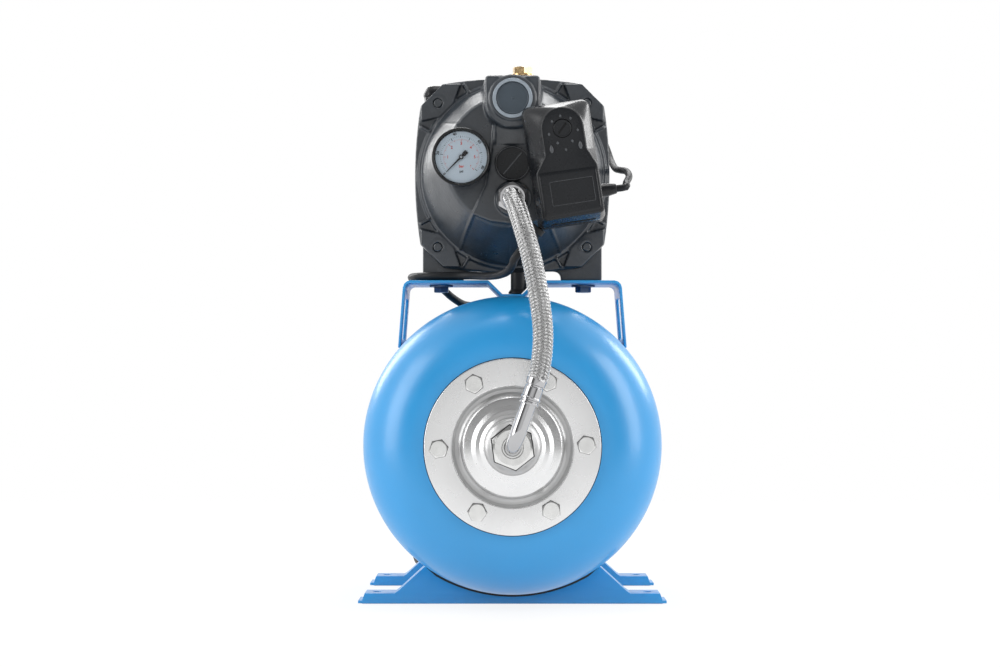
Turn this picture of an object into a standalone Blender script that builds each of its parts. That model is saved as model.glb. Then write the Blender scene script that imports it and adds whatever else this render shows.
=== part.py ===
"""Booster pump set: a jet pump on a horizontal pressure tank, built from its separate pieces.

Metres, +Z up. X is the width seen from the front, the front looks along -Y, and the origin is
on the floor under the middle of the set. Lengths along Y are named from the tank's front rim.
"""

import math

import bmesh
import bpy
from mathutils import Matrix, Vector

# Clearances
SEAT_GAP = 0.0003
RUNNING_GAP = 0.0008
BOLT_CLEARANCE = 0.0004

# Pressure tank: a steel shell lying along Y with a rubber bladder inside
TANK_RADIUS = 0.135
TANK_FLOOR_CLEARANCE = 0.012
TANK_AXIS_HEIGHT = TANK_RADIUS + TANK_FLOOR_CLEARANCE
TANK_TOP = TANK_AXIS_HEIGHT + TANK_RADIUS
TANK_WALL = 0.0015
TANK_CYLINDER_LENGTH = 0.300
FRONT_DOME_DEPTH = 0.0577
REAR_DOME_DEPTH = 0.065
WELD_BEAD_HEIGHT = 0.0012
WELD_BEAD_WIDTH = 0.006
WELD_BEAD_PLACE = 0.150
TANK_SEGMENTS = 32
FLANGE_SEGMENTS = 32

# Counter-flange that closes the tank's front
FLANGE_RADIUS = 0.078
FLANGE_THICKNESS = 0.0035
FLANGE_GROOVE_OUTER = 0.0525
FLANGE_GROOVE_INNER = 0.04475
FLANGE_GROOVE_DEPTH = 0.0024
FLANGE_CONE_RADIUS = 0.037
FLANGE_CONE_STEP_RADIUS = 0.0255
FLANGE_CONE_HEIGHT = 0.011
FLANGE_HUB_RADIUS = 0.0195
FLANGE_HUB_HEIGHT = 0.018
FLANGE_BOLT_CIRCLE = 0.130
FLANGE_BOLT_COUNT = 6
FLANGE_BOLT_START_DEG = 1.5
FLANGE_BOLT_ACROSS_FLATS = 0.0140
FLANGE_BOLT_HEAD = 0.0050
FLANGE_BOLT_SHANK_RADIUS = 0.0040
FLANGE_BOLT_LENGTH = 0.016
SEAT_RING_THICKNESS = 0.0050
BLADDER_ROOM = 0.0215
BLADDER_RADIUS = TANK_RADIUS - TANK_WALL - BLADDER_ROOM
BLADDER_WALL = 0.0022
BLADDER_LIP_RADIUS = 0.057
BLADDER_LIP_THICKNESS = 0.0020
BLADDER_END_ROOM = 0.025
BLADDER_END_BEND = 0.050

# Air valve in the middle of the rear dome
AIR_VALVE_RADIUS = 0.0040
AIR_VALVE_LENGTH = 0.018
AIR_VALVE_PROUD = 0.006
VALVE_CAP_RADIUS = 0.0090
VALVE_CAP_DEPTH = 0.0105

# Feet: two pressed channels under the tank
FOOT_OVERHANG = 0.0074
FOOT_HALF_WIDTH = TANK_RADIUS + FOOT_OVERHANG
FOOT_DEPTH = 0.0395
FOOT_SHEET = 0.0025
FOOT_PAD_HEIGHT = 0.0090
FOOT_PAD_EDGE = 0.0060
FOOT_PAD_WIDTH = 0.0276
FOOT_SADDLE_DEG = 34.5
FOOT_PEAK_FLAT = 0.0045
FOOT_BEND = 0.0020
FOOT_LIP_HEIGHT = 0.0024
FOOT_LIP_WIDTH = 0.0053
FOOT_ANCHOR_EDGE = 0.0168
FOOT_ANCHOR_SPACING = 2 * (FOOT_HALF_WIDTH - FOOT_ANCHOR_EDGE)
FOOT_ANCHOR_RADIUS = 0.0040
FRONT_FOOT_PLACE = 0.043
REAR_FOOT_SETBACK = 0.067
REAR_FOOT_PLACE = TANK_CYLINDER_LENGTH - REAR_FOOT_SETBACK

# Pump platform: a bent sheet that saddles the tank
PLATFORM_RISE = 0.0155
PLATFORM_TOP = TANK_TOP + PLATFORM_RISE
PLATFORM_SHEET = 0.0025
PLATFORM_MARGIN = 0.016
PLATFORM_LEG_SPLAY = 0.006
PLATFORM_CORNER_RADIUS = 0.0060
PLATFORM_PLACE = 0.027
PLATFORM_DEPTH = 0.105
TROUGH_TOP_HALF = 0.0225
TROUGH_FLOOR_HALF = 0.0096
WINDOW_LOW_STRIP = 0.0087
WINDOW_TOP_STRIP = 0.0155
WINDOW_CORNER = 0.004
WINDOW_FRONT_STRIP = 0.020
WINDOW_REAR_STRIP = 0.025
PLATFORM_BOLT_SPACING = 0.133
PLATFORM_BOLT_PLACE = 0.075
PLATFORM_BOLT_ACROSS_FLATS = 0.013
PLATFORM_BOLT_HEAD = 0.0069
PLATFORM_BOLT_RADIUS = 0.0040
PLATFORM_BOLT_LENGTH = 0.018
PLATFORM_WASHER_RADIUS = 0.0112
PLATFORM_WASHER_THICKNESS = 0.0016

# Pump casing and the motor bracket behind it, both round the pump's axis
PUMP_AXIS_RISE = 0.0975
PUMP_AXIS_HEIGHT = PLATFORM_TOP + PUMP_AXIS_RISE
CASING_FLANGE_PLACE = 0.040
CASING_FLANGE_THICKNESS = 0.010
CASING_FLANGE_HALF = 0.085
CASING_FLANGE_BULGE = 0.0050
CASING_FLANGE_CHAMFER = 0.021
BELL_BASE_RADIUS = 0.087
BELL_STEP_RADIUS = 0.0835
BELL_STEP_HEIGHT = 0.0030
BELL_DEPTH = 0.070
BELL_FACE_RADIUS = 0.0585
BELL_FACE_RISE = 0.007
BELL_FACE_SHIFT = -0.0015
BELL_WALL = 0.0070
BELL_SEGMENTS = 28
WEB_PROUD = 0.006
TOWER_HALF_WIDTH = 0.0247
TOWER_FLARE = 0.0040
TOWER_TOP = PUMP_AXIS_HEIGHT + 0.0815
TOWER_LOW = PUMP_AXIS_HEIGHT + 0.0295
TOWER_FRONT = -0.048
TOWER_LOW_CORNER = 0.017
TOWER_TOP_CORNER = 0.004
OUTLET_HEIGHT = PUMP_AXIS_HEIGHT + 0.061
OUTLET_BOSS_RADIUS = 0.02125
OUTLET_BOSS_PROUD = 0.0015
OUTLET_LIP_RADIUS = 0.0178
OUTLET_BORE_RADIUS = 0.0145
OUTLET_BORE_DEPTH = 0.045
OUTLET_RISER_RADIUS = 0.0100
OUTLET_RISER_START = 0.035
OUTLET_PLUG_RECESS = 0.0020
OUTLET_PLUG_THICKNESS = 0.0080
SUCTION_HEIGHT = PUMP_AXIS_HEIGHT + 0.0038
SUCTION_BOSS_RADIUS = 0.0158
SUCTION_BORE_RADIUS = 0.0140
SUCTION_PLUG_THICKNESS = 0.009
HOSE_PORT_HEIGHT = PUMP_AXIS_HEIGHT - 0.028
HOSE_PORT_BOSS_RADIUS = 0.0152
HOSE_PORT_FRONT = -0.0450
HOSE_PORT_BORE_RADIUS = 0.0075
CASING_BOLT_SPACING_X = 0.1374
CASING_BOLT_SPACING_Z = 0.1330
CASING_BOLT_RADIUS = 0.0040
CASING_BOLT_ACROSS_FLATS = 0.013
CASING_BOLT_HEAD = 0.0053
EAR_PROUD = 0.0040
PORT_PAD_WIDTH = 0.0045
PORT_PAD_PROUD = 0.0025
PORT_BORE_DEPTH = 0.016
PRIMING_PLUG_X = 0.009
PRIMING_PLUG_PLACE = -0.028
PRIMING_PLUG_ACROSS_FLATS = 0.016
PRIMING_PLUG_HEAD = 0.0090
PRIMING_PLUG_COLLAR_RADIUS = 0.0100
PRIMING_PLUG_COLLAR = 0.0025
PRIMING_PLUG_SHANK_RADIUS = 0.0062
PRIMING_PLUG_SHANK = 0.0095

# Bracket (lantern) that carries the casing, the motor and the two mounting blocks
BRACKET_THICKNESS = 0.012
BRACKET_HALF = 0.083
BRACKET_ARCH_HALF = 0.045
BRACKET_ARCH_HEIGHT = 0.009
BRACKET_ARCH_RADIUS = 0.006
BRACKET_BLOCK_DEPTH = 0.050
BRACKET_BLOCK_HEIGHT = 0.022
BRACKET_CONE_RADIUS = 0.060
BRACKET_CONE_LENGTH = 0.022

# Motor behind the bracket
MOTOR_BORE_RADIUS = 0.0530
MOTOR_FRAME_RADIUS = 0.0580
MOTOR_FIN_RADIUS = 0.0660
MOTOR_FIN_COUNT = 24
MOTOR_LENGTH = 0.130
STATOR_BORE_RADIUS = 0.0305
STATOR_LENGTH = 0.070
WINDING_LENGTH = 0.020
ROTOR_RADIUS = 0.0297
SHAFT_RADIUS = 0.0080
SHAFT_NOSE_RADIUS = 0.0060
SHAFT_NOSE = 0.0180
SHAFT_STEP = 0.0600
SHAFT_TAIL = 0.2560
SEAL_SEAT_RADIUS = 0.0140
SEAL_SEAT_WIDTH = 0.0055
BEARING_RADIUS = 0.0175
BEARING_WIDTH = 0.0120
END_SHIELD_THICKNESS = 0.008
FAN_RADIUS = 0.0540
FAN_BLADES = 6
FAN_COVER_RADIUS = 0.0688
FAN_COVER_LENGTH = 0.066
FAN_COVER_WALL = 0.0022
FAN_COVER_SLOTS = 12
FAN_SLOT_INNER = 0.016
FAN_SLOT_OUTER = 0.052
FAN_SLOT_WIDTH = 0.0044

# Hydraulics inside the casing
IMPELLER_RADIUS = 0.0560
IMPELLER_EYE_RADIUS = 0.0190
IMPELLER_WIDTH = 0.0085
IMPELLER_SHROUD = 0.0022
IMPELLER_VANES = 6
IMPELLER_BACK = 0.0340
VANE_THICKNESS = 0.0026
DIFFUSER_RADIUS = 0.0690
DIFFUSER_VANES = 5
DIFFUSER_WALL = 0.0020
DIFFUSER_GAP = 0.0030

# Terminal box on the motor
TERMINAL_LEFT = -0.078
TERMINAL_RIGHT = 0.022
TERMINAL_PLACE = 0.118
TERMINAL_LENGTH = 0.084
TERMINAL_BASE_HEIGHT = PUMP_AXIS_HEIGHT + 0.049
TERMINAL_BASE_DEPTH = 0.034
TERMINAL_LID_DEPTH = 0.0105
TERMINAL_SEAM_HEIGHT = TERMINAL_BASE_HEIGHT + TERMINAL_BASE_DEPTH
TERMINAL_TOP = TERMINAL_SEAM_HEIGHT + TERMINAL_LID_DEPTH
TERMINAL_DRAFT = 0.004
TERMINAL_CORNER = 0.009
TERMINAL_GLAND_PLACE = 0.162
TERMINAL_GLAND_HEIGHT = TERMINAL_SEAM_HEIGHT - 0.010
TERMINAL_GLAND_REACH = 0.014

# Support foot under the casing
STUB_X = 0.006
STUB_PLACE = 0.036
STUB_RADIUS = 0.0075
STUB_BASE_RADIUS = 0.0095
STUB_BASE_HEIGHT = 0.004

# Pressure gauge
GAUGE_X = -0.0453
GAUGE_HEIGHT = PUMP_AXIS_HEIGHT + 0.0075
GAUGE_RADIUS = 0.0260
GAUGE_FACE_PLACE = -0.059
GAUGE_DEPTH = 0.020
GAUGE_BEZEL = 0.0026
GAUGE_LIP = 0.0034
GAUGE_STEM_RADIUS = 0.0065
GAUGE_STEM_INTO = 0.008
NEEDLE_REACH = 0.0185
NEEDLE_TAIL = 0.0070
NEEDLE_REST_DEG = 225.0

# Pressure switch
SWITCH_FRONT_PLACE = -0.094
SWITCH_BASE_PLACE = -0.0515
SWITCH_BASE_THICKNESS = 0.014
SWITCH_SHELL = 0.0025
SWITCH_SCREW_RADIUS = 0.0078
SWITCH_SCREW_SLOT = 0.0018
SWITCH_SCREW_TURN_DEG = -38.0
SWITCH_NIPPLE_X = 0.0435
SWITCH_NIPPLE_HEIGHT = PUMP_AXIS_HEIGHT + 0.0065
SWITCH_NIPPLE_RADIUS = 0.0065
KEYHOLE_RADIUS = 0.0185
SWITCH_X = 0.0451
SWITCH_HEIGHT = PUMP_AXIS_HEIGHT - 0.0019
SWITCH_TILT_DEG = 8.5
SWITCH_HALF_WIDTH = 0.0298
SWITCH_HALF_HEIGHT = 0.0511
SWITCH_KEYHOLE_X = 0.0026
SWITCH_KEYHOLE_UP = 0.0310
SWITCH_GLAND_RADIUS = 0.0060
SWITCH_GLAND_UP = -0.0250
SWITCH_GLAND_REACH = 0.014
# The keyhole front: (X, height) of its lower corners and of the necks under its round head
SWITCH_FRONT_LOW = [(-0.0255, -0.0465), (0.0280, -0.0455), (0.0280, -0.0040)]
SWITCH_FRONT_NECK = [(0.0211, 0.0110), (-0.0159, 0.0090), (-0.0255, -0.0050)]

# Hose set from the casing to the tank
ELBOW_TUBE_RADIUS = 0.0070
ELBOW_BEND_RADIUS = 0.0175
ELBOW_LEAN_DEG = 19.5
ELBOW_REACH = 0.040
ELBOW_NUT_ACROSS_FLATS = 0.034
ELBOW_NUT_DEPTH = 0.0085
FERRULE_RADIUS = 0.0088
FERRULE_LENGTH = 0.024
HOSE_RADIUS = 0.0090
HOSE_NUT_ACROSS_FLATS = 0.0245
HOSE_NUT_DEPTH = 0.0110

# Electric leads
SWITCH_LEAD_RADIUS = 0.0031
MAINS_RADIUS = 0.00365
MAINS_COIL_RADIUS = 0.0400
MAINS_COIL_X = -0.012
MAINS_COIL_REACH = 0.074
MAINS_COIL_PLACE = TANK_CYLINDER_LENGTH + MAINS_COIL_REACH
MAINS_COIL_LAYERS = 3
MAINS_RELIEF = 0.022
GLAND_RADIUS = 0.0085
PLUG_BODY_RADIUS = 0.0185
PLUG_BODY_LENGTH = 0.032
PLUG_PIN_RADIUS = 0.0024
PLUG_PIN_LENGTH = 0.019
PLUG_PIN_SPACING = 0.019

# Mains lead: where it leaves the switch, as (X, place, rise above the pump's axis), its heading
# there, and the points it passes
MAINS_EXIT = (0.0225, -0.0585, -0.0560)
MAINS_HEADING = (-0.62, 0.12, -0.77)
# Past the casing and along the platform: (X, place, rise above the platform's top)
MAINS_ON_PLATFORM = [
    (0.0020, -0.0380, 0.0175), (-0.0040, -0.0150, 0.0103), (-0.0090, 0.0060, 0.0065),
    (-0.0190, 0.0220, 0.0047), (-0.0350, 0.0300, 0.0043), (-0.0500, 0.0335, 0.0043),
    (-0.0640, 0.0350, 0.0043), (-0.0790, 0.0400, 0.0043), (-0.0895, 0.0510, 0.0043),
    (-0.0940, 0.0660, 0.0043), (-0.0940, 0.0850, 0.0043), (-0.0930, 0.1050, 0.0043),
    (-0.0885, 0.1220, 0.0045), (-0.0800, 0.1370, 0.0037),
]
# Along the top of the tank: (X, place, rise above the tank's top)
MAINS_ON_TANK = [
    (-0.0690, 0.1510, 0.0135), (-0.0590, 0.1660, 0.0050), (-0.0490, 0.1830, -0.0010),
    (-0.0410, 0.2050, -0.0020), (-0.0350, 0.2350, -0.0003), (-0.0310, 0.2700, 0.0006),
    (-0.0300, 0.3000, 0.0009),
]
# Down behind the tank: (X, reach behind the tank's straight part, share of the tank's height)
MAINS_BEHIND_TANK = [
    (-0.0300, 0.0200, 0.9858), (-0.0300, 0.0400, 0.9255), (-0.0300, 0.0550, 0.8262),
    (-0.0300, 0.0640, 0.7092), (-0.0300, 0.0690, 0.5496), (-0.0315, 0.0680, 0.4255),
    (-0.0370, 0.0620, 0.3085), (-0.0465, 0.0545, 0.2039),
]
# Onto the coil, then from its lowest turn to the plug: (X, reach, height above the floor)
MAINS_ONTO_COIL = [
    (-0.0500, 0.0580, 0.0409), (-0.0520, 0.0690, 0.0299), (-0.0507, 0.0840, 0.0259),
    (-0.0455, 0.0960, 0.0259),
]
MAINS_TAIL = [
    (-0.0430, 0.0372, 0.0040), (-0.0520, 0.0445, 0.0060), (-0.0610, 0.0525, 0.0120),
    (-0.0675, 0.0605, 0.0172), (-0.0710, 0.0680, 0.0187), (-0.0735, 0.0745, 0.0187),
]

# Switch lead from the switch's gland to the terminal box: (X, place, rise above the pump's axis)
SWITCH_LEAD_ROUTE = [
    (0.1005, -0.0500, -0.0150), (0.1035, -0.0360, -0.0075), (0.1035, -0.0200, 0.0000),
    (0.1020, 0.0000, 0.0060), (0.0985, 0.0300, 0.0120), (0.0960, 0.0600, 0.0190),
    (0.0940, 0.0900, 0.0290), (0.0880, 0.1180, 0.0460), (0.0760, 0.1430, 0.0620),
    (0.0600, 0.1580, 0.0705),
]

# Braided hose from the ferrule to the casing: (X, reach behind its plane, rise above its port)
HOSE_ROUTE = [
    (0.0250, 0.0000, -0.1410), (0.0260, 0.0000, -0.1220), (0.0243, 0.0000, -0.1010),
    (0.0200, 0.0000, -0.0750), (0.0157, 0.0010, -0.0534), (0.0105, 0.0050, -0.0340),
    (0.0050, 0.0140, -0.0160), (0.0010, 0.0280, -0.0035),
]

# Front of the casing's central web: (X, rise above the pump's axis)
WEB_OUTLINE = [
    (-0.0165, 0.0450), (-0.0190, 0.0150), (-0.0240, -0.0150), (-0.0360, -0.0410), (-0.0200, -0.0475),
    (0.0000, -0.0500), (0.0200, -0.0475), (0.0340, -0.0410), (0.0240, -0.0150), (0.0190, 0.0150),
    (0.0165, 0.0450),
]

# The set's middle in Y: the hose's front to the air valve's cap
HOSE_PLANE = -0.1085
FRONT_REACH = HOSE_PLANE - HOSE_RADIUS
REAR_REACH = TANK_CYLINDER_LENGTH + REAR_DOME_DEPTH + SEAT_GAP + VALVE_CAP_DEPTH
TANK_FRONT = -(FRONT_REACH + REAR_REACH) / 2

# Places worked out from the sizes above, all from the tank's front rim
TANK_SEAT = -FRONT_DOME_DEPTH
FLANGE_BACK = TANK_SEAT - SEAT_GAP
FLANGE_FRONT = FLANGE_BACK - FLANGE_THICKNESS
PLATFORM_HALF_WIDTH = BRACKET_HALF + PLATFORM_MARGIN
PLATFORM_LEG_SPREAD = PLATFORM_HALF_WIDTH + PLATFORM_LEG_SPLAY
BELL_FACE = CASING_FLANGE_PLACE - BELL_DEPTH
CASING_BACK = CASING_FLANGE_PLACE + CASING_FLANGE_THICKNESS
BRACKET_FRONT = CASING_BACK + SEAT_GAP
BRACKET_BACK = BRACKET_FRONT + BRACKET_THICKNESS
MOTOR_FRONT = BRACKET_BACK + BRACKET_CONE_LENGTH + SEAT_GAP
MOTOR_BACK = MOTOR_FRONT + MOTOR_LENGTH
BRACKET_FOOT = PLATFORM_TOP + SEAT_GAP
BEARING_FRONT_PLACE = BRACKET_BACK + BRACKET_CONE_LENGTH - BEARING_WIDTH - SEAT_GAP
WEB_FRONT = BELL_FACE - WEB_PROUD
IMPELLER_FRONT = IMPELLER_BACK - 2 * IMPELLER_SHROUD - IMPELLER_WIDTH
DIFFUSER_FRONT = IMPELLER_FRONT - DIFFUSER_GAP - DIFFUSER_WALL


def y_of(place):
    """World Y of a place measured from the tank's front rim."""
    return TANK_FRONT + place


def remove_old_objects():
    for item in list(bpy.data.objects):
        bpy.data.objects.remove(item, do_unlink=True)


def paint(name, colour, roughness, metallic=0.0):
    material = bpy.data.materials.new(name)
    material.use_nodes = True
    shader = material.node_tree.nodes["Principled BSDF"]
    shader.inputs["Base Color"].default_value = (*colour, 1.0)
    shader.inputs["Roughness"].default_value = roughness
    shader.inputs["Metallic"].default_value = metallic
    material.diffuse_color = (*colour, 1.0)
    return material


def circle(radius, count, phase=0.0):
    """Points (a, b) of a regular polygon round the origin."""
    angles = [phase + 2 * math.pi * i / count for i in range(count)]
    return [(radius * math.cos(t), radius * math.sin(t)) for t in angles]


def hexagon(across_flats):
    """Twelve points on a hexagon: its corners and the middles of its sides."""
    flat = across_flats / 2
    corner = flat / math.cos(math.pi / 6)
    points = []
    for i in range(12):
        radius = corner if i % 2 == 0 else flat
        angle = i * math.pi / 6
        points.append((radius * math.cos(angle), radius * math.sin(angle)))
    return points


def rounded(corners, radii, steps=4):
    """Outline through the corners, each replaced by an arc of its own radius."""
    outline = []
    count = len(corners)
    for i, corner in enumerate(corners):
        here = Vector(corner)
        before = (Vector(corners[i - 1]) - here).normalized()
        after = (Vector(corners[(i + 1) % count]) - here).normalized()
        radius = radii[i] if isinstance(radii, (list, tuple)) else radii
        half = before.angle(after) / 2
        if half > math.pi / 2 - 1e-4:
            outline.extend([tuple(here)] * (steps + 1))
            continue
        setback = radius / math.tan(half)
        start = here + before * setback
        end = here + after * setback
        centre = here + (before + after).normalized() * (radius / math.sin(half))
        first = start - centre
        last = end - centre
        turn = first.angle(last)
        for step in range(steps + 1):
            share = step / steps
            blend = (math.sin((1 - share) * turn) * first + math.sin(share * turn) * last)
            outline.append(tuple(centre + blend / math.sin(turn)))
    return outline


def shifted(outline, across=0.0, up=0.0):
    return [(a + across, b + up) for a, b in outline]


def in_space(outline, along, axis):
    """Lift a flat outline into space at a place along an axis."""
    if axis == "X":
        return [Vector((along, a, b)) for a, b in outline]
    if axis == "Y":
        return [Vector((a, along, b)) for a, b in outline]
    return [Vector((a, b, along)) for a, b in outline]


def loft(rings, closed=False):
    """Skin rings of equal length; the ends are capped unless the rings close on themselves."""
    mesh = bmesh.new()
    rows = [[mesh.verts.new(point) for point in ring] for ring in rings]
    pairs = list(zip(rows, rows[1:]))
    if closed:
        pairs.append((rows[-1], rows[0]))
    count = len(rows[0])
    for lower, upper in pairs:
        for i in range(count):
            j = (i + 1) % count
            mesh.faces.new((lower[i], lower[j], upper[j], upper[i]))
    if not closed:
        mesh.faces.new(rows[0])
        mesh.faces.new(rows[-1])
    bmesh.ops.remove_doubles(mesh, verts=mesh.verts, dist=1e-6)
    bmesh.ops.recalc_face_normals(mesh, faces=mesh.faces)
    return mesh


def turned(profile, count, axis="Y", closed=False, phase=0.0):
    """Body of revolution through (along, radius) points; a radius of 0 makes a pole."""
    rings = [in_space(circle(radius, count, phase), along, axis) for along, radius in profile]
    return loft(rings, closed)


def prism(outline, start, end, axis="Y"):
    return loft([in_space(outline, start, axis), in_space(outline, end, axis)])


def block(low, high):
    """Box between two corners."""
    outline = [(low[0], low[1]), (high[0], low[1]), (high[0], high[1]), (low[0], high[1])]
    return prism(outline, low[2], high[2], "Z")


def add_part(name, mesh, material, place=(0.0, 0.0, 0.0), smooth_deg=32.0):
    """Make a mesh object at its place, smooth shaded up to an angle."""
    data = bpy.data.meshes.new(name)
    mesh.to_mesh(data)
    mesh.free()
    data.shade_smooth()
    data.set_sharp_from_angle(angle=math.radians(smooth_deg))
    if material is not None:
        data.materials.append(material)
    item = bpy.data.objects.new(name, data)
    bpy.context.scene.collection.objects.link(item)
    item.location = place
    return item


def add_tool(name, mesh, place=(0.0, 0.0, 0.0)):
    """A body used only to cut or fuse; it is no part of the set."""
    tool = add_part(name, mesh, None, place)
    tool.hide_render = True
    tool.display_type = "WIRE"
    return tool


def combine(item, operation, tool):
    modifier = item.modifiers.new(tool.name, "BOOLEAN")
    modifier.operation = operation
    modifier.solver = "EXACT"
    modifier.object = tool


def cut(item, name, mesh, place=(0.0, 0.0, 0.0)):
    combine(item, "DIFFERENCE", add_tool(name, mesh, place))


def fuse(item, name, mesh, place=(0.0, 0.0, 0.0)):
    combine(item, "UNION", add_tool(name, mesh, place))


def gathered(name, meshes):
    """One mesh that holds several separate bodies, for a cut made in several places."""
    whole = bmesh.new()
    for mesh in meshes:
        data = bpy.data.meshes.new(name)
        mesh.to_mesh(data)
        mesh.free()
        whole.from_mesh(data)
        bpy.data.meshes.remove(data)
    return whole


def hex_bolt_mesh(across_flats, head, shank_radius, length, collar_radius=0.0, collar=0.0):
    """Bolt along Z: the head's underside is at 0, the head goes up and the shank down."""
    crown = circle(across_flats * 0.46, 12)
    rings = [in_space(crown, head, "Z")]
    rings.append(in_space(hexagon(across_flats), head * 0.84, "Z"))
    rings.append(in_space(hexagon(across_flats), collar, "Z"))
    if collar_radius:
        rings.append(in_space(circle(collar_radius, 12), collar, "Z"))
        rings.append(in_space(circle(collar_radius, 12), 0.0, "Z"))
    else:
        rings.append(in_space(hexagon(across_flats), 0.0, "Z"))
    tip = min(shank_radius, length) * 0.04
    rings.append(in_space(circle(shank_radius, 12), 0.0, "Z"))
    rings.append(in_space(circle(shank_radius - tip, 12), -length, "Z"))
    return loft([ring for k, ring in enumerate(rings) if k == 0 or ring != rings[k - 1]])


def smooth_route(points, spacing):
    """Points read off a smooth curve through the route's own points, about evenly spaced."""
    knots = [Vector(p) for p in points]
    knots.insert(0, knots[0] * 2 - knots[1])
    knots.append(knots[-1] * 2 - knots[-2])
    fine = []
    for k in range(1, len(knots) - 2):
        p0, p1, p2, p3 = knots[k - 1:k + 3]
        for step in range(40):
            t = step / 40
            fine.append(0.5 * ((2 * p1) + (p2 - p0) * t + (2 * p0 - 5 * p1 + 4 * p2 - p3) * t * t
                               + (3 * p1 - 3 * p2 + p3 - p0) * t * t * t))
    fine.append(knots[-2])
    lengths = [0.0]
    for before, after in zip(fine, fine[1:]):
        lengths.append(lengths[-1] + (after - before).length)
    count = max(2, round(lengths[-1] / spacing))
    picked = []
    place = 0
    for step in range(count + 1):
        target = lengths[-1] * step / count
        while place < len(lengths) - 2 and lengths[place + 1] < target:
            place += 1
        share = (target - lengths[place]) / (lengths[place + 1] - lengths[place])
        picked.append(fine[place].lerp(fine[place + 1], min(max(share, 0.0), 1.0)))
    return picked


def held_route(start, ahead, middle, end, onward, spacing):
    """Route whose first and last stretches run straight along the pieces that hold it."""
    lead = spacing * 0.6
    inner = [start + ahead * lead] + [Vector(p) for p in middle] + [end - onward * lead]
    return [start] + smooth_route(inner, spacing) + [end]


def add_tube(name, points, radius, material, resolution=2):
    """Round tube along a poly line, its ends closed."""
    curve = bpy.data.curves.new(name, "CURVE")
    curve.dimensions = "3D"
    curve.bevel_depth = radius
    curve.bevel_resolution = resolution
    curve.use_fill_caps = True
    spline = curve.splines.new("POLY")
    spline.points.add(len(points) - 1)
    for slot, point in zip(spline.points, points):
        slot.co = (*point, 1.0)
    spline.use_smooth = True
    curve.materials.append(material)
    item = bpy.data.objects.new(name, curve)
    bpy.context.scene.collection.objects.link(item)
    return item


def arc_profile(centre_along, centre_radius, along, radial, start_deg, end_deg, steps):
    """Elliptical arc as (along, radius) points."""
    points = []
    for step in range(steps + 1):
        angle = math.radians(start_deg + (end_deg - start_deg) * step / steps)
        points.append((centre_along + along * math.sin(angle),
                       centre_radius + radial * math.cos(angle)))
    return points


def flange_bolt_places():
    radius = FLANGE_BOLT_CIRCLE / 2
    for k in range(FLANGE_BOLT_COUNT):
        angle = math.radians(FLANGE_BOLT_START_DEG + 360 * k / FLANGE_BOLT_COUNT)
        yield radius * math.cos(angle), TANK_AXIS_HEIGHT + radius * math.sin(angle)


def bolt_hole_cutters(name, radius, start, end):
    """One cutter with a rod for each flange bolt."""
    rods = [prism(shifted(circle(radius, 8), x, z), start, end) for x, z in flange_bolt_places()]
    return add_tool(name, gathered(name, rods))


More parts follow.
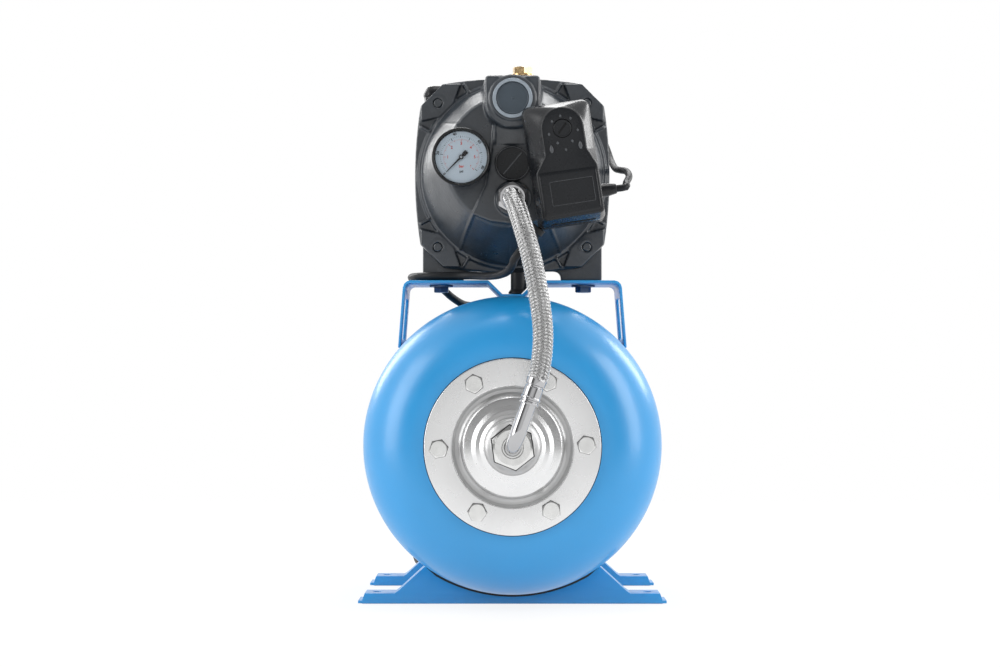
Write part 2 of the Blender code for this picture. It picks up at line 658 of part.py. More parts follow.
def make_tank(paints):
    """Shell with its front seat, the bladder in it, the counter-flange and the air valve."""
    axis = (0.0, 0.0, TANK_AXIS_HEIGHT)
    lip_recess = BLADDER_LIP_RADIUS + SEAT_GAP
    mouth = BLADDER_LIP_RADIUS - 0.012
    seat_radius = FLANGE_RADIUS + 0.0015
    lip_seat = TANK_SEAT + BLADDER_LIP_THICKNESS
    ring_back = TANK_SEAT + SEAT_RING_THICKNESS
    knuckle = TANK_RADIUS - seat_radius
    bead_low = WELD_BEAD_PLACE - WELD_BEAD_WIDTH / 2
    bead_high = WELD_BEAD_PLACE + WELD_BEAD_WIDTH / 2
    rear = TANK_CYLINDER_LENGTH
    hole = AIR_VALVE_RADIUS + SEAT_GAP
    outer = [(lip_seat, mouth), (lip_seat, lip_recess), (TANK_SEAT, lip_recess)]
    outer += arc_profile(0.0, seat_radius, TANK_SEAT, knuckle, 90, 0, 4)
    outer += [(bead_low, TANK_RADIUS), (WELD_BEAD_PLACE, TANK_RADIUS + WELD_BEAD_HEIGHT)]
    outer += [(bead_high, TANK_RADIUS)]
    outer += arc_profile(rear, hole, REAR_DOME_DEPTH, TANK_RADIUS - hole, 0, 90, 5)
    inner = arc_profile(rear, hole, REAR_DOME_DEPTH - TANK_WALL, TANK_RADIUS - TANK_WALL - hole, 90, 0, 3)
    inner += arc_profile(0.0, seat_radius, ring_back, knuckle - TANK_WALL, 0, 80, 2)
    inner += [(ring_back, seat_radius - 0.002), (ring_back, mouth)]
    profile = [(y_of(along), radius) for along, radius in outer + inner]
    shell = add_part("tank_shell", turned(profile, TANK_SEGMENTS, closed=True), paints["blue"], axis)
    rod_radius = (FLANGE_BOLT_SHANK_RADIUS + BOLT_CLEARANCE) / math.cos(math.pi / 8)
    rods = bolt_hole_cutters("bolt_holes", rod_radius, y_of(FLANGE_FRONT) - 0.01, y_of(ring_back) + 0.01)
    combine(shell, "DIFFERENCE", rods)

    lip_front = TANK_SEAT + SEAT_GAP / 2
    lip_back = lip_seat - SEAT_GAP / 2
    neck = mouth - SEAT_GAP * 2
    bend = BLADDER_END_BEND
    far = TANK_CYLINDER_LENGTH - BLADDER_END_ROOM - bend
    skin = BLADDER_WALL
    bag = [(lip_front, neck - skin), (lip_front, BLADDER_LIP_RADIUS), (lip_back, BLADDER_LIP_RADIUS)]
    bag += [(lip_back, neck), (ring_back + 0.004, neck), (0.02, BLADDER_RADIUS)]
    bag += arc_profile(far, 0.0, bend, BLADDER_RADIUS, 0, 90, 3)
    bag += arc_profile(far, 0.0, bend - skin, BLADDER_RADIUS - skin, 90, 0, 3)
    bag += [(0.02, BLADDER_RADIUS - skin), (ring_back + 0.004, neck - skin)]
    profile = [(y_of(along), radius) for along, radius in bag]
    add_part("tank_bladder", turned(profile, 18, closed=True), paints["rubber"], axis)

    front = FLANGE_FRONT
    thick = FLANGE_THICKNESS
    bore = ELBOW_TUBE_RADIUS - 0.0015
    face = [(front, FLANGE_RADIUS - 0.0008), (front, FLANGE_GROOVE_OUTER),
            (front + FLANGE_GROOVE_DEPTH, FLANGE_GROOVE_OUTER - 0.0022),
            (front + FLANGE_GROOVE_DEPTH, FLANGE_GROOVE_INNER + 0.0022),
            (front - 0.001, FLANGE_GROOVE_INNER),
            (front - FLANGE_CONE_HEIGHT * 0.55, FLANGE_CONE_RADIUS),
            (front - FLANGE_CONE_HEIGHT * 0.9, FLANGE_CONE_STEP_RADIUS + 0.003),
            (front - FLANGE_CONE_HEIGHT, FLANGE_CONE_STEP_RADIUS),
            (front - FLANGE_HUB_HEIGHT * 0.85, FLANGE_HUB_RADIUS),
            (front - FLANGE_HUB_HEIGHT, FLANGE_HUB_RADIUS - 0.002),
            (front - FLANGE_HUB_HEIGHT, bore)]
    back = [(front - FLANGE_CONE_HEIGHT + thick, bore),
            (front - FLANGE_CONE_HEIGHT + thick, FLANGE_CONE_STEP_RADIUS - thick),
            (front + thick * 0.6, FLANGE_GROOVE_INNER - thick),
            (FLANGE_BACK, FLANGE_GROOVE_INNER), (FLANGE_BACK, FLANGE_RADIUS), (front + 0.0008, FLANGE_RADIUS)]
    profile = [(y_of(along), radius) for along, radius in face + back]
    flange = add_part("tank_flange", turned(profile, FLANGE_SEGMENTS, closed=True), paints["zinc"], axis)
    combine(flange, "DIFFERENCE", rods)

    for k, (x, z) in enumerate(flange_bolt_places(), start=1):
        mesh = hex_bolt_mesh(FLANGE_BOLT_ACROSS_FLATS, FLANGE_BOLT_HEAD, FLANGE_BOLT_SHANK_RADIUS,
                             FLANGE_BOLT_LENGTH, FLANGE_BOLT_ACROSS_FLATS * 0.6, 0.0008)
        bolt = add_part(f"flange_bolt_{k}", mesh, paints["zinc"],
                        (x, y_of(FLANGE_FRONT) - SEAT_GAP, z))
        bolt.rotation_euler = (math.pi / 2, math.radians(17 * k), 0.0)

    dome = TANK_CYLINDER_LENGTH + REAR_DOME_DEPTH
    stem = [(dome - AIR_VALVE_LENGTH, 0.0), (dome - AIR_VALVE_LENGTH, AIR_VALVE_RADIUS),
            (dome + AIR_VALVE_PROUD, AIR_VALVE_RADIUS), (dome + AIR_VALVE_PROUD, 0.0)]
    add_part("air_valve", turned([(y_of(a), r) for a, r in stem], 16), paints["brass"], axis)
    start = dome + SEAT_GAP
    end = start + VALVE_CAP_DEPTH
    pocket = dome + AIR_VALVE_PROUD + SEAT_GAP
    cap = [(start, AIR_VALVE_RADIUS + SEAT_GAP), (start, VALVE_CAP_RADIUS),
           (end - 0.001, VALVE_CAP_RADIUS), (end, VALVE_CAP_RADIUS - 0.001), (end, 0.0)]
    cap += [(pocket, 0.0), (pocket, AIR_VALVE_RADIUS + SEAT_GAP)]
    add_part("valve_cap", turned([(y_of(a), r) for a, r in cap], 24, closed=True), paints["plastic"], axis)


def foot_outline():
    """Half pad, diagonal and saddle of a foot, mirrored to both sides, open along the floor."""
    saddle = TANK_RADIUS + SEAT_GAP
    reach = math.radians(FOOT_SADDLE_DEG)
    peak_x = saddle * math.sin(reach)
    peak = TANK_AXIS_HEIGHT - saddle * math.cos(reach)
    pad_outer = FOOT_HALF_WIDTH - FOOT_PAD_EDGE
    pad_inner = pad_outer - FOOT_PAD_WIDTH
    right = [(FOOT_HALF_WIDTH - FOOT_LIP_HEIGHT * 1.2, 0.0), (pad_outer, FOOT_PAD_HEIGHT),
             (pad_inner, FOOT_PAD_HEIGHT), (pad_inner - FOOT_BEND * 1.5, FOOT_PAD_HEIGHT + FOOT_BEND),
             (peak_x + FOOT_PEAK_FLAT, peak - FOOT_BEND), (peak_x + FOOT_BEND, peak)]
    steps = 18
    arc = []
    for step in range(steps + 1):
        angle = reach * (1 - 2 * step / steps)
        arc.append((saddle * math.sin(angle), TANK_AXIS_HEIGHT - saddle * math.cos(angle)))
    left = [(-x, z) for x, z in reversed(right)]
    return right + arc + left


def make_foot(name, place, material):
    """Pressed channel: its wall follows the outline on both faces, and it is open to the floor."""
    outline = foot_outline()
    mesh = bmesh.new()
    rows = []
    for along in (place, place + FOOT_DEPTH):
        rows.append([mesh.verts.new((x, y_of(along), z)) for x, z in outline])
    for i in range(len(outline) - 1):
        mesh.faces.new((rows[0][i], rows[0][i + 1], rows[1][i + 1], rows[1][i]))
    mesh.faces.new(rows[0])
    mesh.faces.new(rows[1])
    bmesh.ops.recalc_face_normals(mesh, faces=mesh.faces)
    item = add_part(name, mesh, material, smooth_deg=20.0)
    wall = item.modifiers.new("wall", "SOLIDIFY")
    wall.thickness = FOOT_SHEET
    wall.offset = -1.0
    wall.use_even_offset = True
    wall.use_rim = True
    for side in (-1, 1):
        edges = sorted((side * (FOOT_HALF_WIDTH - FOOT_LIP_WIDTH), side * FOOT_HALF_WIDTH))
        lip = block((edges[0], y_of(place), 0.0), (edges[1], y_of(place + FOOT_DEPTH), FOOT_LIP_HEIGHT))
        fuse(item, f"{name}_lip_{side}", lip)
        hole = prism(circle(FOOT_ANCHOR_RADIUS, 16), FOOT_PAD_HEIGHT - 0.006, FOOT_PAD_HEIGHT + 0.006, "Z")
        cut(item, f"{name}_anchor_{side}", hole,
            (side * FOOT_ANCHOR_SPACING / 2, y_of(place + FOOT_DEPTH / 2), 0.0))
    return item


def sheet_strip(path, start, end):
    """Open strip of sheet metal that follows a path in the XZ plane."""
    mesh = bmesh.new()
    rows = [[mesh.verts.new((x, y, z)) for x, z in path] for y in (start, end)]
    for i in range(len(path) - 1):
        mesh.faces.new((rows[0][i], rows[0][i + 1], rows[1][i + 1], rows[1][i]))
    bmesh.ops.recalc_face_normals(mesh, faces=mesh.faces)
    return mesh


def make_platform(paints):
    """Bent sheet: two legs on the tank's flanks, two pads for the pump and a trough between."""
    half = PLATFORM_SHEET / 2
    leg_inner = PLATFORM_LEG_SPREAD - PLATFORM_SHEET
    saddle = TANK_RADIUS + SEAT_GAP
    leg_foot = TANK_AXIS_HEIGHT + math.sqrt(saddle * saddle - leg_inner * leg_inner)
    top = PLATFORM_TOP - half
    floor = TANK_TOP + SEAT_GAP + half
    corner = PLATFORM_CORNER_RADIUS
    bend = [(PLATFORM_LEG_SPREAD - half, leg_foot), (PLATFORM_HALF_WIDTH, top),
            (TROUGH_TOP_HALF, top), (TROUGH_FLOOR_HALF, floor)]
    closed = bend + [(-x, z) for x, z in reversed(bend)]
    radii = [0.0002, corner, 0.002, 0.002, 0.002, 0.002, corner, 0.0002]
    outline = rounded(closed, radii, 3)
    path = outline[3:-3]
    start = y_of(PLATFORM_PLACE)
    end = y_of(PLATFORM_PLACE + PLATFORM_DEPTH)
    item = add_part("pump_platform", sheet_strip(path, start, end), paints["blue"], smooth_deg=25.0)
    wall = item.modifiers.new("wall", "SOLIDIFY")
    wall.thickness = PLATFORM_SHEET
    wall.offset = 0.0
    wall.use_even_offset = True
    wall.use_rim = True
    for side in (-1, 1):
        centre = side * (PLATFORM_HALF_WIDTH + PLATFORM_LEG_SPREAD) / 2
        reach = 0.015
        front = start + WINDOW_FRONT_STRIP
        rear = end - WINDOW_REAR_STRIP
        low = leg_foot + WINDOW_LOW_STRIP
        high = PLATFORM_TOP - WINDOW_TOP_STRIP
        window = rounded([(front, low), (rear, low), (rear, high), (front, high)], WINDOW_CORNER, 2)
        cut(item, f"window_{side}", prism(window, centre - reach, centre + reach, "X"))
        hole = prism(circle(PLATFORM_BOLT_RADIUS + BOLT_CLEARANCE, 12), -0.01, 0.01, "Z")
        cut(item, f"platform_hole_{side}", hole,
            (side * PLATFORM_BOLT_SPACING / 2, y_of(PLATFORM_BOLT_PLACE), PLATFORM_TOP))
    underside = PLATFORM_TOP - PLATFORM_SHEET
    for name, side in (("left", -1), ("right", 1)):
        spot = (side * PLATFORM_BOLT_SPACING / 2, y_of(PLATFORM_BOLT_PLACE))
        mesh = hex_bolt_mesh(PLATFORM_BOLT_ACROSS_FLATS, PLATFORM_BOLT_HEAD, PLATFORM_BOLT_RADIUS,
                             PLATFORM_BOLT_LENGTH, PLATFORM_WASHER_RADIUS, PLATFORM_WASHER_THICKNESS)
        bolt = add_part(f"platform_bolt_{name}", mesh, paints["zinc"], (*spot, underside - SEAT_GAP))
        bolt.rotation_euler = (math.pi, 0.0, 0.0)


def bell_ring(share):
    """Centre and radius of the bell's round section, from its base (0) to its face (1)."""
    radius = BELL_STEP_RADIUS + (BELL_FACE_RADIUS - BELL_STEP_RADIUS) * share ** 1.15
    return BELL_FACE_SHIFT * share, PUMP_AXIS_HEIGHT + BELL_FACE_RISE * share, radius


def bell_section(share, along, inset=0.0):
    x, z, radius = bell_ring(share)
    return in_space(shifted(circle(radius - inset, BELL_SEGMENTS), x, z), y_of(along), "Y")


def bulged_square(half, bulge, chamfer, steps=6):
    """Square with bowed sides and cut corners, round the pump's axis."""
    span = half - chamfer
    outline = []
    for quarter in range(4):
        for step in range(steps + 1):
            a = span * (2 * step / steps - 1)
            b = half + bulge * (1 - (a / span) ** 2)
            turn = quarter * math.pi / 2
            x = a * math.cos(turn) + b * math.sin(turn)
            z = -a * math.sin(turn) + b * math.cos(turn)
            outline.append((x, PUMP_AXIS_HEIGHT + z))
    return outline


def casing_bolt_places():
    for up in (1, -1):
        for across in (-1, 1):
            yield across * CASING_BOLT_SPACING_X / 2, PUMP_AXIS_HEIGHT + up * CASING_BOLT_SPACING_Z / 2


def casing_ear(across, up):
    """Flaring raised pad in one corner of the casing's flange."""
    half = CASING_FLANGE_HALF - 0.0005
    inner = CASING_FLANGE_HALF - CASING_FLANGE_CHAMFER
    corners = [(half, inner - 0.014), (half, inner), (inner, half), (inner - 0.016, half),
               (inner - 0.010, inner + 0.003), (inner + 0.003, inner - 0.010)]
    return [(across * x, PUMP_AXIS_HEIGHT + up * z) for x, z in corners]


def bell_rib(angle_deg, width, proud):
    """Thin rib that runs down the bell's cone from its face to its base."""
    angle = math.radians(angle_deg)
    outward = Vector((math.cos(angle), 0.0, math.sin(angle)))
    sideways = Vector((-math.sin(angle), 0.0, math.cos(angle))) * (width / 2)
    rings = []
    for share in (0.0, 0.5, 1.0):
        x, z, radius = bell_ring(share)
        along = CASING_FLANGE_PLACE - BELL_STEP_HEIGHT - (BELL_DEPTH - BELL_STEP_HEIGHT) * share
        centre = Vector((x, y_of(along), z))
        low = centre + outward * (radius - 0.004)
        high = centre + outward * (radius + proud)
        rings.append([low - sideways, low + sideways, high + sideways, high - sideways])
    return loft(rings)


def make_casing(paints):
    """Cast casing: bell, square flange with ears, central web, tower, ports and bosses."""
    start = CASING_FLANGE_PLACE
    step_front = start - BELL_STEP_HEIGHT
    depth = BELL_DEPTH - BELL_STEP_HEIGHT
    rings = [in_space(shifted(circle(BELL_BASE_RADIUS, BELL_SEGMENTS), 0, PUMP_AXIS_HEIGHT), y_of(place), "Y")
             for place in (start + 0.002, step_front)]
    for share in (0.0, 0.45, 0.96):
        rings.append(bell_section(share, step_front - depth * share))
    rings.append(bell_section(1.0, BELL_FACE, 0.002))
    casing = add_part("pump_casing", loft(rings), paints["cast"], smooth_deg=28.0)

    flange = bulged_square(CASING_FLANGE_HALF, CASING_FLANGE_BULGE, CASING_FLANGE_CHAMFER)
    fuse(casing, "casing_flange", prism(flange, y_of(start), y_of(CASING_BACK)))
    for across in (-1, 1):
        for up in (-1, 1):
            pad = prism(casing_ear(across, up), y_of(start - EAR_PROUD), y_of(start + 0.001))
            fuse(casing, f"ear_{across}_{up}", pad)
    for name, angle, width in (("left", -125.0, 0.0022), ("right", -58.0, 0.0022), ("seam", -90.0, 0.0012)):
        fuse(casing, f"bell_rib_{name}", bell_rib(angle, width, width * 0.5))

    web = shifted(WEB_OUTLINE, 0.0, PUMP_AXIS_HEIGHT)
    fuse(casing, "casing_web", prism(web, y_of(WEB_FRONT), y_of(BELL_FACE + 0.008)))

    def tower_ring(place, half):
        corners = [(-half, TOWER_LOW), (half, TOWER_LOW), (half, TOWER_TOP), (-half, TOWER_TOP)]
        radii = [TOWER_LOW_CORNER, TOWER_LOW_CORNER, TOWER_TOP_CORNER, TOWER_TOP_CORNER]
        return in_space(rounded(corners, radii, 3), y_of(place), "Y")

    tower_rear = TOWER_HALF_WIDTH + TOWER_FLARE
    tower = loft([tower_ring(TOWER_FRONT, TOWER_HALF_WIDTH - 0.0015),
                  tower_ring(TOWER_FRONT + 0.002, TOWER_HALF_WIDTH), tower_ring(start + 0.004, tower_rear)])
    fuse(casing, "casing_tower", tower)
    gusset = [(y_of(TOWER_FRONT + 0.004), TOWER_LOW + 0.014), (y_of(WEB_FRONT - 0.001), TOWER_LOW - 0.008),
              (y_of(BELL_FACE), TOWER_LOW - 0.008), (y_of(BELL_FACE), TOWER_LOW + 0.020)]
    fuse(casing, "tower_gusset", prism(gusset, -0.0155, 0.0155, "X"))

    boss_front = TOWER_FRONT - OUTLET_BOSS_PROUD
    lip_front = boss_front - 0.0006
    outlet = (0.0, 0.0, OUTLET_HEIGHT)
    boss = [(lip_front, 0.0), (lip_front, OUTLET_LIP_RADIUS), (boss_front, OUTLET_LIP_RADIUS),
            (boss_front, OUTLET_BOSS_RADIUS - 0.0012), (boss_front + 0.0012, OUTLET_BOSS_RADIUS),
            (TOWER_FRONT + 0.004, OUTLET_BOSS_RADIUS), (TOWER_FRONT + 0.004, 0.0)]
    fuse(casing, "outlet_boss", turned([(y_of(a), r) for a, r in boss], 24), outlet)
    hose_port = (0.0, 0.0, HOSE_PORT_HEIGHT)
    boss = [(y_of(HOSE_PORT_FRONT), 0.0), (y_of(HOSE_PORT_FRONT), HOSE_PORT_BOSS_RADIUS - 0.001),
            (y_of(HOSE_PORT_FRONT + 0.001), HOSE_PORT_BOSS_RADIUS),
            (y_of(BELL_FACE + 0.003), HOSE_PORT_BOSS_RADIUS), (y_of(BELL_FACE + 0.003), 0.0)]
    fuse(casing, "hose_boss", turned(boss, 20), hose_port)
    collar = TOWER_TOP + 0.0006
    fuse(casing, "priming_pad", prism(circle(PRIMING_PLUG_COLLAR_RADIUS + 0.0015, 16), TOWER_TOP - 0.002,
                                      collar, "Z"), (PRIMING_PLUG_X, y_of(PRIMING_PLUG_PLACE), 0.0))
    for name, x, z, radius in (("gauge", GAUGE_X, GAUGE_HEIGHT, GAUGE_STEM_RADIUS),
                               ("switch", SWITCH_NIPPLE_X, SWITCH_NIPPLE_HEIGHT, SWITCH_NIPPLE_RADIUS)):
        disc = circle(radius + PORT_PAD_WIDTH, 16)
        pad = prism(disc, y_of(BELL_FACE - PORT_PAD_PROUD), y_of(BELL_FACE + 0.003))
        fuse(casing, f"{name}_boss", pad, (x, 0.0, z))
        bore = prism(circle(radius + SEAT_GAP, 16), y_of(BELL_FACE - 0.01), y_of(BELL_FACE + PORT_BORE_DEPTH))
        cut(casing, f"{name}_bore", bore, (x, 0.0, z))

    wall = BELL_WALL + 0.0015
    hollow = [in_space(shifted(circle(DIFFUSER_RADIUS + 0.002, BELL_SEGMENTS), 0, PUMP_AXIS_HEIGHT),
                       y_of(place), "Y") for place in (CASING_BACK + 0.002, DIFFUSER_FRONT - 0.002)]
    hollow.append(bell_section(0.88, step_front - depth * 0.88, wall))
    cut(casing, "casing_hollow", loft(hollow))
    suction = (0.0, 0.0, SUCTION_HEIGHT)
    cut(casing, "suction_bore", prism(circle(SUCTION_BORE_RADIUS, 20), y_of(WEB_FRONT - 0.002),
                                      y_of(BELL_FACE + 0.02)), suction)
    cut(casing, "hose_bore", prism(circle(HOSE_PORT_BORE_RADIUS, 12), y_of(HOSE_PORT_FRONT - 0.002),
                                   y_of(BELL_FACE + 0.02)), hose_port)
    cut(casing, "outlet_bore", prism(circle(OUTLET_BORE_RADIUS, 24), y_of(lip_front - 0.002),
                                     y_of(TOWER_FRONT + OUTLET_BORE_DEPTH)), outlet)
    riser = prism(circle(OUTLET_RISER_RADIUS, 12), PUMP_AXIS_HEIGHT + OUTLET_RISER_START, OUTLET_HEIGHT, "Z")
    cut(casing, "outlet_riser", riser, (0.0, y_of(TOWER_FRONT + OUTLET_BORE_DEPTH - 0.0125), 0.0))
    cut(casing, "priming_bore", prism(circle(PRIMING_PLUG_SHANK_RADIUS + BOLT_CLEARANCE, 12), OUTLET_HEIGHT,
                                      TOWER_TOP + 0.003, "Z"),
        (PRIMING_PLUG_X, y_of(PRIMING_PLUG_PLACE), 0.0))
    for k, (x, z) in enumerate(casing_bolt_places(), start=1):
        hole = prism(circle(CASING_BOLT_RADIUS + BOLT_CLEARANCE, 12), y_of(start - EAR_PROUD - 0.002),
                     y_of(CASING_BACK + 0.002))
        cut(casing, f"casing_bolt_hole_{k}", hole, (x, 0.0, z))

    plug_front = boss_front + OUTLET_PLUG_RECESS
    plug_radius = OUTLET_BORE_RADIUS - SEAT_GAP
    disc = [(y_of(plug_front), 0.0), (y_of(plug_front), plug_radius - 0.0015),
            (y_of(plug_front + 0.0008), plug_radius), (y_of(plug_front + OUTLET_PLUG_THICKNESS), plug_radius),
            (y_of(plug_front + OUTLET_PLUG_THICKNESS), 0.0)]
    add_part("outlet_plug", turned(disc, 24), paints["plastic"], outlet)
    seat = WEB_FRONT - SEAT_GAP
    shank = SUCTION_BORE_RADIUS - SEAT_GAP
    cover = [(seat - 0.0037, 0.0), (seat - 0.0037, SUCTION_BOSS_RADIUS - 0.0008),
             (seat - 0.0029, SUCTION_BOSS_RADIUS), (seat, SUCTION_BOSS_RADIUS), (seat, shank),
             (seat + SUCTION_PLUG_THICKNESS, shank), (seat + SUCTION_PLUG_THICKNESS, 0.0)]
    add_part("suction_plug", turned([(y_of(a), r) for a, r in cover], 20), paints["plastic"], suction)
    mesh = hex_bolt_mesh(PRIMING_PLUG_ACROSS_FLATS, PRIMING_PLUG_HEAD, PRIMING_PLUG_SHANK_RADIUS,
                         PRIMING_PLUG_SHANK, PRIMING_PLUG_COLLAR_RADIUS, PRIMING_PLUG_COLLAR)
    add_part("priming_plug", mesh, paints["brass"],
             (PRIMING_PLUG_X, y_of(PRIMING_PLUG_PLACE), collar + SEAT_GAP))


def make_bracket(paints):
    """Lantern: plate behind the casing, two mounting blocks and the cone that carries the motor."""
    low = BRACKET_FOOT
    arch = low + BRACKET_ARCH_HEIGHT
    half = BRACKET_HALF
    top = PUMP_AXIS_HEIGHT + CASING_FLANGE_HALF
    corner = CASING_FLANGE_CHAMFER
    corners = [(-half, low), (-BRACKET_ARCH_HALF, low), (-BRACKET_ARCH_HALF, arch), (BRACKET_ARCH_HALF, arch),
               (BRACKET_ARCH_HALF, low), (half, low), (half, top - corner), (half - corner, top),
               (corner - half, top), (-half, top - corner)]
    tiny = 0.0015
    radii = [tiny, tiny, BRACKET_ARCH_RADIUS, BRACKET_ARCH_RADIUS, tiny, tiny, 0.004, 0.004, 0.004, 0.004]
    plate = prism(rounded(corners, radii, 3), y_of(BRACKET_FRONT), y_of(BRACKET_BACK))
    bracket = add_part("motor_bracket", plate, paints["cast"])
    axis = (0.0, 0.0, PUMP_AXIS_HEIGHT)
    for name, side in (("left", -1), ("right", 1)):
        edges = sorted((side * (BRACKET_ARCH_HALF + 0.002), side * (half - 0.001)))
        rear = y_of(BRACKET_BACK + BRACKET_BLOCK_DEPTH)
        front = y_of(BRACKET_BACK - 0.001)
        foot = block((edges[0], front, low), (edges[1], rear, low + BRACKET_BLOCK_HEIGHT))
        fuse(bracket, f"mounting_block_{name}", foot)
        hole = prism(circle(PLATFORM_BOLT_RADIUS + BOLT_CLEARANCE, 12), -0.002, PLATFORM_BOLT_LENGTH, "Z")
        spot = (side * PLATFORM_BOLT_SPACING / 2, y_of(PLATFORM_BOLT_PLACE), low)
        cut(bracket, f"block_hole_{name}", hole, spot)
    rear = BRACKET_BACK + BRACKET_CONE_LENGTH
    cone = [(y_of(BRACKET_BACK - 0.002), 0.0), (y_of(BRACKET_BACK - 0.002), BRACKET_CONE_RADIUS + 0.012),
            (y_of(rear - 0.006), BRACKET_CONE_RADIUS + 0.002), (y_of(rear), BRACKET_CONE_RADIUS + 0.002),
            (y_of(rear), 0.0)]
    fuse(bracket, "bracket_cone", turned(cone, 24), axis)
    bores = [(y_of(BRACKET_FRONT - 0.002), 0.0), (y_of(BRACKET_FRONT - 0.002), SEAL_SEAT_RADIUS + SEAT_GAP),
             (y_of(BRACKET_FRONT + SEAL_SEAT_WIDTH), SEAL_SEAT_RADIUS + SEAT_GAP),
             (y_of(BRACKET_FRONT + SEAL_SEAT_WIDTH), SHAFT_RADIUS + 0.0015),
             (y_of(BEARING_FRONT_PLACE - SEAT_GAP), SHAFT_RADIUS + 0.0015),
             (y_of(BEARING_FRONT_PLACE - SEAT_GAP), BEARING_RADIUS + SEAT_GAP),
             (y_of(rear + 0.002), BEARING_RADIUS + SEAT_GAP), (y_of(rear + 0.002), 0.0)]
    cut(bracket, "bracket_bores", turned(bores, 20), axis)
    for k, (x, z) in enumerate(casing_bolt_places(), start=1):
        hole = prism(circle(CASING_BOLT_RADIUS + BOLT_CLEARANCE, 12), y_of(BRACKET_FRONT - 0.002),
                     y_of(BRACKET_BACK + 0.002))
        cut(bracket, f"bracket_bolt_hole_{k}", hole, (x, 0.0, z))
        head_seat = BRACKET_BACK + SEAT_GAP
        length = head_seat - (CASING_FLANGE_PLACE - EAR_PROUD) + 0.0006
        mesh = hex_bolt_mesh(CASING_BOLT_ACROSS_FLATS, CASING_BOLT_HEAD, CASING_BOLT_RADIUS, length)
        bolt = add_part(f"casing_bolt_{k}", mesh, paints["zinc"], (x, y_of(head_seat), z))
        bolt.rotation_euler = (-math.pi / 2, 0.0, 0.0)


def finned_ring(place):
    """Outline of the motor frame with its cooling fins, as a ring in space."""
    points = []
    slot = 2 * math.pi / MOTOR_FIN_COUNT
    for k in range(MOTOR_FIN_COUNT):
        for share, radius in ((0.00, MOTOR_FRAME_RADIUS), (0.56, MOTOR_FRAME_RADIUS),
                              (0.66, MOTOR_FIN_RADIUS), (0.90, MOTOR_FIN_RADIUS)):
            angle = slot * (k + share)
            points.append((radius * math.cos(angle), PUMP_AXIS_HEIGHT + radius * math.sin(angle)))
    return in_space(points, y_of(place), "Y")


def bore_ring(place, radius):
    """Round ring with a point for every point of the finned outline."""
    points = []
    for point in finned_ring(place):
        angle = math.atan2(point.z - PUMP_AXIS_HEIGHT, point.x)
        height = PUMP_AXIS_HEIGHT + radius * math.sin(angle)
        points.append(Vector((radius * math.cos(angle), point.y, height)))
    return points


